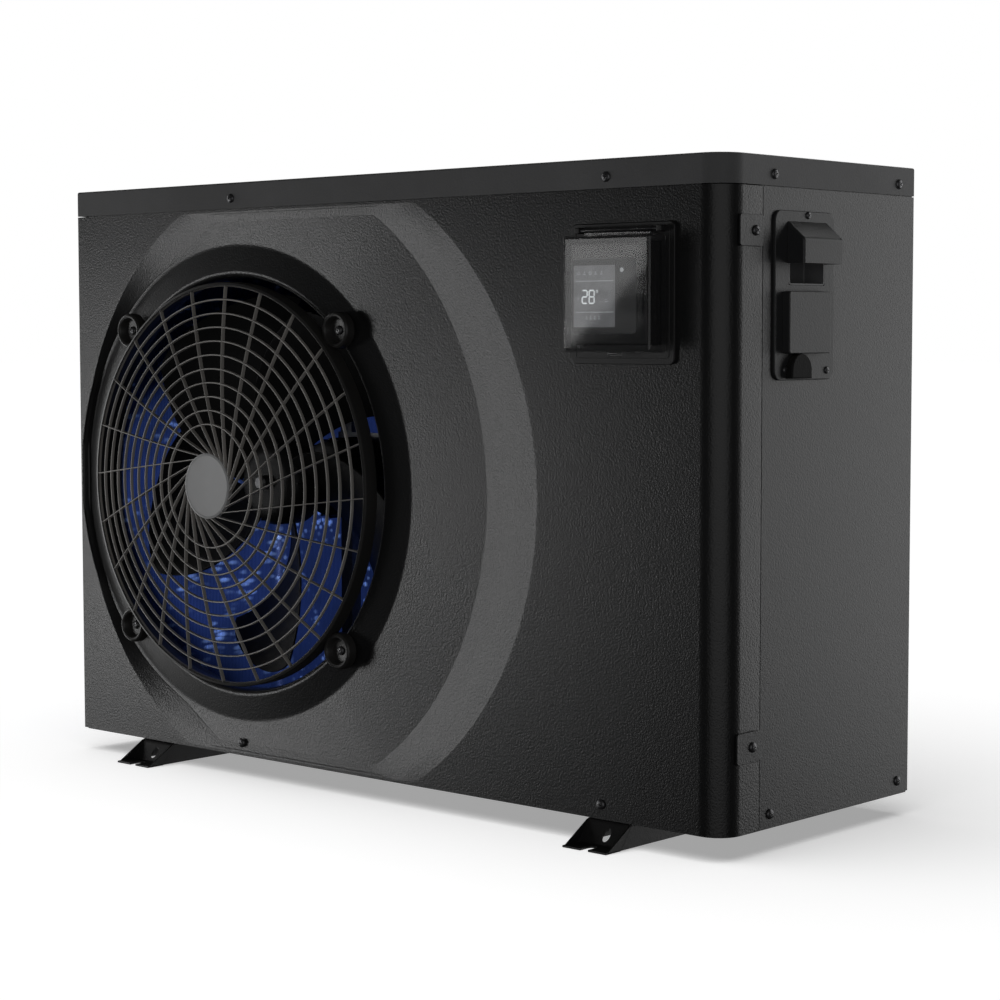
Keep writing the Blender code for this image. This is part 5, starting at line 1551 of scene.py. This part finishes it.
def hollow(low: Sequence[float], high: Sequence[float], lost: Vector, wall: float, edge: float,
           steps: int = 4, rim: float = 0.0) -> Mesh:
    """A thin-walled box with one side missing and its edges rounded.

    Args:
        low: The lowest corner.
        high: The highest corner.
        lost: The direction of the missing side.
        wall: The wall's thickness, inwards.
        edge: The rounding's radius.
        steps: Its number of steps.
        rim: The rounding of the open rim.

    Returns:
        The mesh.
    """
    piece = block(low, high)
    with editing(piece):
        pick(piece, Pick.FACES, lambda co, normal: normal.dot(lost) > 0.9)
        bpy.ops.mesh.delete(type="FACE")
        pick_folds(piece)
        bpy.ops.mesh.bevel(offset=edge, segments=steps, affect="EDGES")
    modify(piece, "SOLIDIFY", thickness=wall, offset=-1.0, use_even_offset=True)
    return soften(piece, rim, 2, 60) if rim else piece


@dataclass
class Controller:
    """The controller: gasket frame, body, screen with its marks, and the hinged clear cover."""

    segment_l: float = 0.0056
    segment_t: float = 0.0013
    mark_t: float = 0.0001
    frame_t: float = 0.003
    rim_y: float = -0.0037
    lines_x: tuple[float, float] = (-0.037, 0.008)
    digits: tuple[tuple[float, str], ...] = ((-0.0265, "abged"), (-0.0180, "abcdefg"))

    def __post_init__(self) -> None:
        """Takes the middle and the screen's face from the frame."""
        low, high = spot("display_glass")
        self.middle = Vector(((low.x + high.x) / 2, low.y, (low.z + high.z) / 2))

    def at(self, across: float, up: float, proud: float = 0.0) -> Vector:
        """A place on the screen's face."""
        return self.middle + Vector((across, -proud, up))

    def segment(self, across: float, up: float, upright: bool) -> Mesh:
        """One bar of a digit."""
        half, t = self.segment_l / 2, self.segment_t / 2
        outline = [(-half, 0.0), (-half + t, -t), (half - t, -t), (half, 0.0), (half - t, t), (-half + t, t)]
        if upright:
            outline = [(-v, u) for u, v in outline]
        return slab(outline, self.mark_t, 0.00002, Facing.FRONT, self.at(across, up, 0.0003))

    def digit(self, across: float, bars: str) -> list[Mesh]:
        """A seven-bar digit, from the letters of its lit bars."""
        half, step = self.segment_l / 2 + 0.0002, self.segment_l + 0.0004
        spots = {"a": (0.0, step, False), "g": (0.0, 0.0, False), "d": (0.0, -step, False),
                 "b": (half, step / 2, True), "c": (half, -step / 2, True), "e": (-half, -step / 2, True),
                 "f": (-half, step / 2, True)}
        return [self.segment(across + spots[bar][0], -0.003 + spots[bar][1], spots[bar][2]) for bar in bars]

    def bar(self, low: Point, high: Point) -> Mesh:
        """A flat bar on the screen between two corners."""
        half_w, half_h = (high[0] - low[0]) / 2, (high[1] - low[1]) / 2
        outline = rounded_outline(half_w, half_h, min(half_w, half_h) * 0.3, 2)
        return slab(outline, self.mark_t, 0.00002, Facing.FRONT,
                    self.at((low[0] + high[0]) / 2, (low[1] + high[1]) / 2, 0.0003))

    def ring(self, across: float, up: float, radius: float, width: float) -> Mesh:
        """A small ring on the screen."""
        profile = [(radius - width, 0.0), (radius - width, self.mark_t), (radius, self.mark_t), (radius, 0.0)]
        return lathe(profile, 24, closed=True, facing=Facing.FRONT, centre=self.at(across, up, 0.0003))

    def build_screen(self) -> None:
        """Builds the screen's glass, its paler field and its marks."""
        low, high = spot("display_glass")
        half_w, half_h = (high.x - low.x) / 2, (high.z - low.z) / 2
        glass = slab(rounded_outline(half_w, half_h, 0.003), high.y - low.y, 0.0003, Facing.FRONT,
                     self.at(0.0, 0.0, low.y - high.y))
        dressed(glass, "screen_glass", "casing", Finish.screen_glass, stands_for=["display_glass"])
        rim = slab(rounded_outline(0.0385, 0.0345, 0.0035), 0.0002, 0.00005, Facing.FRONT,
                   self.at(-0.0035, -0.0025))
        dressed(rim, "screen_bezel", "casing", Finish.screen_rim)
        field = slab(rounded_outline(0.0250, 0.0288, 0.0008), 0.0001, 0.00003, Facing.FRONT,
                     self.at(-0.0150, -0.0025, 0.0002))
        # The field glows as painted light under the smoked cover.
        dressed(field, "screen_field", "casing", Finish.screen_field)
        marks = [piece for across, bars in self.digits for piece in self.digit(across, bars)]
        marks.append(self.ring(-0.0115, 0.0022, 0.0013, 0.0005))
        dressed(joined(marks), "screen_digits", "casing", Finish.lit_digit)
        left, right = self.lines_x
        icons = [self.bar((left, up - 0.0004), (right, up + 0.0004)) for up in (0.0117, -0.0173)]
        for index, kind in enumerate("obobb"):
            across = left + 0.0035 + index * 0.0068
            icons.append(self.ring(across, 0.0190, 0.0017, 0.0006) if kind == "o" else
                         self.bar((across - 0.0015, 0.0176), (across + 0.0015, 0.0186)))
            if kind == "b":
                icons.append(self.bar((across - 0.0008, 0.0194), (across + 0.0008, 0.0206)))
        for index in range(4):
            across = left + 0.013 + index * 0.0050
            icons.append(self.bar((across - 0.0013, -0.0240), (across + 0.0013, -0.0231)))
            icons.append(self.bar((across - 0.0005, -0.0224), (across + 0.0005, -0.0208)))
        icons.append(self.bar((-0.0020, -0.0080), (0.0016, -0.0072)))
        icons.append(self.bar((-0.0020, -0.0062), (0.0002, -0.0054)))
        icons.append(self.ring(left + 0.0022, -0.0045, 0.0010, 0.0004))
        dressed(joined(icons), "screen_icons", "casing", Finish.lit_icon)
        lamp = lathe([(0.0, 0.0004), (0.0012, 0.00035), (0.0020, 0.0002), (0.0022, 0.0), (0.0, 0.0)], 24,
                     facing=Facing.FRONT, centre=self.at(0.0180, 0.0215, 0.0002))
        dressed(lamp, "screen_lamp", "casing", Finish.lit_icon)

    def build_housing(self) -> None:
        """Builds the gasket frame with its hinge lugs, and the body behind the screen."""
        low, high = spot("controller_frame")
        mid_x, mid_z = (low.x + high.x) / 2, (low.z + high.z) / 2
        frame_t = self.frame_t
        sheet = slab(rounded_outline((high.x - low.x) / 2, (high.z - low.z) / 2, 0.006, 8), frame_t, 0.0008,
                     Facing.FRONT, (mid_x, -0.0003, mid_z))
        body_low, body_high = spot("controller_body")
        carve(sheet, block((body_low.x - 0.001, -0.02, body_low.z - 0.001),
                           (body_high.x + 0.001, 0.01, body_high.z + 0.001)))
        pin_low, pin_high = spot("cover_hinge_pin")
        hinge_y, hinge_z = (pin_low.y + pin_high.y) / 2, (pin_low.z + pin_high.z) / 2
        lugs = []
        for near, far in ((pin_low.x - 0.006, pin_low.x - 0.0003), (pin_high.x + 0.0003, pin_high.x + 0.006)):
            lugs.append(rounded_block((near, hinge_y - 0.003, hinge_z - 0.003),
                                      (far, -0.0013, hinge_z + 0.003), 0.0012, 4))
        lip = slab(rounded_outline(0.0565, 0.0605, 0.004, 6), frame_t + 0.0004, 0.0004, Facing.FRONT,
                   (mid_x, -0.0003, mid_z))
        carve(lip, block((mid_x - 0.0555, -0.02, mid_z - 0.0595), (mid_x + 0.0555, 0.01, mid_z + 0.0595)))
        dressed(joined([sheet, lip, *lugs]), "gasket_frame", "casing", Finish.dark_plastic,
                stands_for=["controller_frame"])
        body = rounded_block(body_low, body_high, 0.0022, 4)
        dressed(body, "controller_shell", "casing", Finish.controller_black, stands_for=["controller_body"])

    def build_cover(self) -> None:
        """Builds the clear cover with its hinge barrel and its latch."""
        low, high = spot("controller_cover")
        pin_low, pin_high = spot("cover_hinge_pin")
        hinge = (pin_low + pin_high) / 2
        front = low.y
        mid_z = self.middle.z
        half_h = mid_z - low.z - 0.004
        shell = hollow((low.x, front, mid_z - half_h), (high.x, self.rim_y, mid_z + half_h),
                       Vector((0, 1, 0)), 0.0018, 0.0042, 6, 0.0004)
        barrel = lathe([(0.0017, -0.040), (0.0031, -0.040), (0.0035, -0.0394), (0.0035, 0.0394), (0.0031, 0.040),
                        (0.0017, 0.040)], 24, closed=True, facing=Facing.RIGHT, centre=hinge)
        web = rounded_block((hinge.x - 0.0395, hinge.y - 0.0035, mid_z + half_h - 0.0012),
                            (hinge.x + 0.0395, hinge.y - 0.0010, hinge.z - 0.0020), 0.0004, 2)
        latch = rounded_block((hinge.x - 0.008, front + 0.0118, mid_z - half_h - 0.0038),
                              (hinge.x + 0.008, front + 0.0160, mid_z - half_h + 0.0008), 0.0010, 3)
        dressed(joined([shell, barrel, web, latch]), "clear_cover", "weather_cover", Finish.clear_cover,
                stands_for=["controller_cover"])

    def build(self) -> None:
        """Builds the whole controller."""
        self.build_housing()
        self.build_screen()
        self.build_cover()


# ---------------------------------------------------------------- carry handle and water unions

@dataclass
class CarryHandle:
    """The carry handle's plate, finger pocket, hood and wiring cover, and the cable's hood."""

    plate_edge: float = 0.0009
    hood_slope: float = 0.016
    cable_y: float = 0.1085
    cable_z: float = 0.4245
    cable_r: float = 0.0165

    def place_side(self, piece: Mesh, x: float, y: float, z: float) -> Mesh:
        """Stands a piece that was made lying flat on the casing's right side."""
        piece.data.transform(Matrix.Translation((x, y, z)) @ side_on())
        return piece

    def build_plate(self) -> None:
        """Builds the plate with its openings."""
        low, high = spot("handle_plate")
        mid = (low + high) / 2
        outline = rounded_outline((high.y - low.y) / 2, (high.z - low.z) / 2, 0.009, 8)
        plate = self.place_side(slab(outline, high.x - low.x, self.plate_edge, Facing.UP, (0, 0, 0)),
                                low.x, mid.y, mid.z)
        pocket_low, pocket_high = spot("finger_pocket")
        carve(plate, block((low.x - 0.01, pocket_low.y - 0.0003, pocket_low.z - 0.0003),
                           (high.x + 0.01, pocket_high.y + 0.0003, pocket_high.z + 0.0003)))
        dressed(plate, "handle_base", "casing", Finish.grey_plastic, stands_for=["handle_plate"])
        pocket = hollow(pocket_low, pocket_high, Vector((1, 0, 0)), CASE.sheet, 0.003, 4)
        # The pocket's lighter finish is painted light on its shaded inside.
        dressed(pocket, "pocket_shell", "casing", Finish.pocket_plastic,
                stands_for=["finger_pocket"])

    def build_hood(self) -> None:
        """Builds the hood that the fingers reach up into."""
        low, high = spot("handle_grip")
        hood = block(low, high)
        with editing(hood):
            pick(hood, Pick.VERTS, lambda co, _: co.x > high.x - 1e-5 and co.z > high.z - 1e-5)
            bpy.ops.transform.translate(value=(0.0, 0.0, -self.hood_slope))
            pick(hood, Pick.FACES, lambda co, normal: normal.z < -0.9 or normal.x < -0.9)
            bpy.ops.mesh.delete(type="FACE")
            pick_folds(hood)
            bpy.ops.mesh.bevel(offset=0.0022, segments=5, affect="EDGES")
        modify(hood, "SOLIDIFY", thickness=0.0025, offset=-1.0, use_even_offset=True)
        dressed(hood, "handle_hood", "casing", Finish.grey_plastic, stands_for=["handle_grip"])

    def build_covers(self) -> None:
        """Builds the wiring cover and the cable's rubber hood with its grommet."""
        low, high = spot("wiring_cover")
        mid = (low + high) / 2
        outline = rounded_outline((high.y - low.y) / 2, (high.z - low.z) / 2, 0.002, 4)
        cover = self.place_side(slab(outline, high.x - low.x, 0.0012, Facing.UP, (0, 0, 0)),
                                low.x, mid.y, mid.z)
        dressed(cover, "wiring_lid", "casing", Finish.grey_plastic, stands_for=["wiring_cover"])
        r = self.cable_r
        turns = [math.radians(180 * step / 16) for step in range(17)]
        outline = [(r * math.cos(a), 0.006 + r * math.sin(a)) for a in turns] + [(-r, -0.001), (r, -0.001)]
        face = spot("handle_plate")[1].x
        hood = self.place_side(slab(outline, 0.0075, 0.0020, Facing.UP, (0, 0, 0)),
                               face, self.cable_y, self.cable_z)
        carve(hood, block((face - 0.001, self.cable_y - 0.008, self.cable_z - 0.003),
                          (face + 0.005, self.cable_y + 0.008, self.cable_z + 0.011)))
        grommet_low, grommet_high = spot("cable_grommet")
        g = (grommet_low + grommet_high) / 2
        half = (grommet_high.x - grommet_low.x) / 2
        boot = lathe([(0.0045, half), (0.0066, half), (0.0072, half - 0.001), (0.0080, -half),
                      (0.0045, -half)], 32, closed=True, facing=Facing.RIGHT, centre=(g.x, g.y, g.z))
        dressed(joined([hood, boot]), "cable_boot", "casing", Finish.rubber, stands_for=["cable_grommet"])

    def build(self) -> None:
        """Builds the whole handle."""
        self.build_plate()
        self.build_hood()
        self.build_covers()


@dataclass
class WaterUnion:
    """A water connection: a threaded port with a stop collar, and a lugged nut that turns on it."""

    port: str
    nut: str
    body: str
    lugs: int = 10
    threads: int = 3
    thread_r: float = 0.025
    bore: float = 0.019

    def build(self) -> None:
        """Builds and dresses the port and its nut."""
        low, high = spot(self.port)
        mid = (low + high) / 2
        r, bore, half = self.thread_r, self.bore, (high.y - low.y) / 2
        flange = (high.x - low.x) / 2
        profile = [(0.0, -half + 0.004), (bore, -half + 0.004), (bore, half - 0.001), (bore + 0.001, half),
                   (r - 0.0012, half), (r - 0.0006, half - 0.0008)]
        for index in range(self.threads):
            top = half - 0.0014 - index * 0.0028
            profile += [(r, top), (r, top - 0.0008), (r - 0.0010, top - 0.0016), (r - 0.0010, top - 0.0022)]
        profile += [(r, half - 0.0105), (r, -half + 0.006), (flange, -half + 0.006), (flange, -half), (0.0, -half)]
        port = lathe(profile, 64, facing=Facing.BACK, centre=mid)
        dressed(port, self.port + "_tube", "casing", Finish.dark_plastic, stands_for=[self.port])
        low, high = spot(self.nut)
        mid = (low + high) / 2
        half, r = (high.y - low.y) / 2, (high.x - low.x) / 2
        ring = lathe([(0.0254, -half + 0.001), (0.0264, -half), (r - 0.0045, -half), (r - 0.003, -half + 0.0015),
                      (r - 0.003, half - 0.006), (r - 0.005, half - 0.003), (r - 0.007, half), (0.0264, half),
                      (0.0254, half - 0.001)], 72, closed=True, facing=Facing.BACK)
        lug = rounded_block((r - 0.006, -half + 0.001, -0.0035), (r, half - 0.007, 0.0035), 0.0012, 3)
        lugs = [copied(lug, Matrix.Rotation(2 * math.pi * index / self.lugs, 4, "Y"))
                for index in range(self.lugs)]
        bpy.data.objects.remove(lug)
        nut = joined([ring, *lugs])
        nut.data.transform(Matrix.Translation(mid))
        dressed(nut, self.nut + "_body", self.body, Finish.dark_plastic, stands_for=[self.nut])


# ---------------------------------------------------------------- nodes that stay

class KeptNodes:
    """The nodes whose shape stays, given the finishes their slots name."""

    def build(self) -> None:
        """Dresses every node that no piece stands for."""
        slots = {part["node"]: part["material_slot"] for part in frame["record"]["subparts"]}
        for name, node in frame["nodes"].items():
            finish = Finish[slots[name]]
            for slot in node.material_slots:
                slot.material = WARDROBE.get(finish)


# ---------------------------------------------------------------- studio

@dataclass(frozen=True)
class SoftBox:
    """A soft light panel aimed at the unit."""

    name: str
    place: tuple[float, float, float]
    aim: tuple[float, float, float]
    width: float
    height: float
    glow: float
    turn: float = 0.0
    colour: Colour = (1.0, 1.0, 1.0)

    def build(self, lit: bpy.types.Collection) -> None:
        """Adds the light; its power follows from its glow and its area.

        Args:
            lit: The pieces that it lights.
        """
        light = bpy.data.lights.new(self.name, "AREA")
        light.shape = "RECTANGLE"
        light.size, light.size_y = self.width, self.height
        light.energy = self.glow * math.pi * self.width * self.height
        light.color = self.colour
        lamp = bpy.data.objects.new(self.name, light)
        lamp.location = self.place
        level = (Vector(self.aim) - Vector(self.place)).to_track_quat("-Z", "Y")
        lamp.rotation_mode = "QUATERNION"
        lamp.rotation_quaternion = level @ Matrix.Rotation(math.radians(self.turn), 4, "Z").to_quaternion()
        bpy.context.scene.collection.objects.link(lamp)
        lamp.light_linking.receiver_collection = lit


@dataclass
class Studio:
    """The camera, the pale floor, the white surround and the lights."""

    eye: tuple[float, float, float] = (1.7352, -1.8869, 0.4904)
    azimuth: float = 42.01
    pitch: float = 4.08
    roll: float = -0.07
    lens: float = 84.8
    boxes: tuple[SoftBox, ...] = (
        SoftBox("left_box", (-3.3, -2.1, -0.2), (0.0, 0.0, 0.2), 2.6, 1.8, 0.44),
        SoftBox("crescent_box", (-3.0, -2.55, 0.02), (0.19, -0.16, 0.3), 0.7, 1.0, 6.0),
        SoftBox("far_left_box", (-3.3, 0.1, 0.2), (-0.3, 0.0, 0.3), 1.8, 3.4, 1.9),
        SoftBox("rear_right_box", (1.82, 2.93, 0.7), (0.45, -0.15, 0.35), 1.9, 3.0, 1.7),
        SoftBox("front_card", (2.92, -2.62, 0.5), (0.45, -0.15, 0.35), 4.6, 2.8, 0.5),
        SoftBox("overhead_box", (-0.8, 2.0, 2.4), (0.0, 0.0, 0.3), 2.4, 1.8, 2.4),
    )
    card: SoftBox = SoftBox("cover_card", (-2.377, -3.28, 0.768), (0.34, -0.19, 0.526), 0.5, 0.5, 1.9,
                            turn=45.0)
    floor_glow: float = 0.36
    floor_albedo: float = 0.8

    def build_camera(self) -> None:
        """Places the camera."""
        camera = bpy.data.objects.new("camera", bpy.data.cameras.new("camera"))
        camera.data.lens = self.lens
        camera.data.sensor_width = 36.0
        turn, tip = math.radians(self.azimuth), math.radians(self.pitch)
        ahead = Vector((-math.sin(turn) * math.cos(tip), math.cos(turn) * math.cos(tip), -math.sin(tip)))
        level = ahead.to_track_quat("-Z", "Y")
        camera.rotation_mode = "QUATERNION"
        camera.rotation_quaternion = level @ Matrix.Rotation(math.radians(self.roll), 4, "Z").to_quaternion()
        camera.location = self.eye
        bpy.context.scene.collection.objects.link(camera)
        bpy.context.scene.camera = camera

    def build_surround(self) -> None:
        """Makes the surround white to the camera and dim to the surfaces."""
        world = bpy.data.worlds.new("surround")
        world.use_nodes = True
        world.node_tree.nodes.clear()
        w = Wiring(world.node_tree)
        seen = w.node("LightPath").outputs["Is Camera Ray"]
        glow = w.spread(seen, 0.0, 1.0, 0.02, 1.0)
        back = w.node("Background", Color=(1.0, 1.0, 1.0, 1.0), Strength=glow)
        out = world.node_tree.nodes.new("ShaderNodeOutputWorld")
        world.node_tree.links.new(back.outputs[0], out.inputs["Surface"])
        bpy.context.scene.world = world

    def build_floor(self) -> None:
        """Lays the floor, white to the camera and dim in reflections, and its own light."""
        bpy.ops.object.select_all(action="DESELECT")
        bpy.ops.mesh.primitive_plane_add(size=60.0, location=(0.0, 0.0, -0.0002))
        floor = bpy.context.object
        floor.name = "floor"
        made = bpy.data.materials.new("pale_floor")
        made.use_nodes = True
        made.node_tree.nodes.clear()
        w = Wiring(made.node_tree)
        pale = (self.floor_albedo,) * 3 + (1.0,)
        matt = w.node("BsdfDiffuse", Color=pale)
        glow = w.node("Emission", Color=(1.0, 1.0, 1.0, 1.0), Strength=self.floor_glow)
        both = w.node("AddShader", i0=matt.outputs[0], i1=glow.outputs[0])
        out = made.node_tree.nodes.new("ShaderNodeOutputMaterial")
        w.tree.links.new(both.outputs[0], out.inputs["Surface"])
        floor.visible_glossy = floor.visible_diffuse = False
        floor.visible_shadow = floor.visible_transmission = False
        floor.data.materials.append(made)
        lit = bpy.data.collections.new("floor_only")
        lit.objects.link(floor)
        sun = bpy.data.lights.new("floor_light", "SUN")
        sun.energy = (1.03 - self.floor_glow) * math.pi / self.floor_albedo
        sun.angle = math.radians(75)
        lamp = bpy.data.objects.new("floor_light", sun)
        lamp.rotation_euler = (math.radians(16), math.radians(-6), 0.0)
        bpy.context.scene.collection.objects.link(lamp)
        lamp.light_linking.receiver_collection = lit

    @staticmethod
    def chosen(name: str, pieces: Sequence[str]) -> bpy.types.Collection:
        """A collection of pieces that a light reaches or is stopped by.

        Args:
            name: The collection's name.
            pieces: The pieces' names.

        Returns:
            The collection.
        """
        made = bpy.data.collections.new(name)
        for piece in pieces:
            made.objects.link(bpy.data.objects[piece])
        return made

    @staticmethod
    def light_coil() -> None:
        """Lights the fins behind the fan through the throat, past the guard and the blades."""
        glow = bpy.data.lights.new("coil_light", "SUN")
        glow.energy, glow.angle = 2.2, math.radians(14)
        lamp = bpy.data.objects.new("coil_light", glow)
        lamp.rotation_euler = (math.radians(72), 0.0, math.radians(30))
        bpy.context.scene.collection.objects.link(lamp)
        lamp.light_linking.receiver_collection = Studio.chosen("coil_only", ["coil_fins"])
        lamp.light_linking.blocker_collection = Studio.chosen("coil_shade", ["front_skin", "lid_skin"])

    def build(self) -> None:
        """Builds the whole studio."""
        bpy.context.scene.view_settings.view_transform = "Standard"
        self.build_camera()
        self.build_surround()
        self.build_floor()
        self.light_coil()
        unit = self.chosen("unit_only", [each.name for each in bpy.data.objects
                                         if each.type == "MESH" and each.name != "floor"])
        for box in self.boxes:
            box.build(unit)
        screen = self.chosen("screen_only", ["clear_cover", "controller_shell", "screen_glass", "screen_bezel",
                                             "screen_field"])
        self.card.build(screen)


# ---------------------------------------------------------------- the unit

def main() -> None:
    """Builds the unit's pieces in order, then the studio."""
    logging.basicConfig(level=logging.INFO, format="%(name)s: %(message)s")
    shaft_low, shaft_high = spot("motor_shaft")
    fan_x, fan_z = (shaft_low.x + shaft_high.x) / 2, (shaft_low.z + shaft_high.z) / 2
    KeptNodes().build()
    FrontPanel(fan_x, fan_z).build()
    Lid().build()
    SidePanels().build()
    CoilGuard("rear_guard", "rear_wire_guard").build()
    CoilGuard("left_guard", "left_wire_guard").build()
    Foot("left_foot", "left_foot_strip").build()
    Foot("right_foot", "right_foot_strip").build()
    CornerTabs().build()
    FanGuard(fan_x, fan_z).build()
    FanRotor(fan_x, fan_z).build()
    Motor().build()
    Evaporator().build()
    Controller().build()
    CarryHandle().build()
    WaterUnion("inlet_port", "inlet_union_nut", "inlet_nut").build()
    WaterUnion("outlet_port", "outlet_union_nut", "outlet_nut").build()
    Fasteners().build()
    Studio().build()


if __name__ == "__main__":
    main()
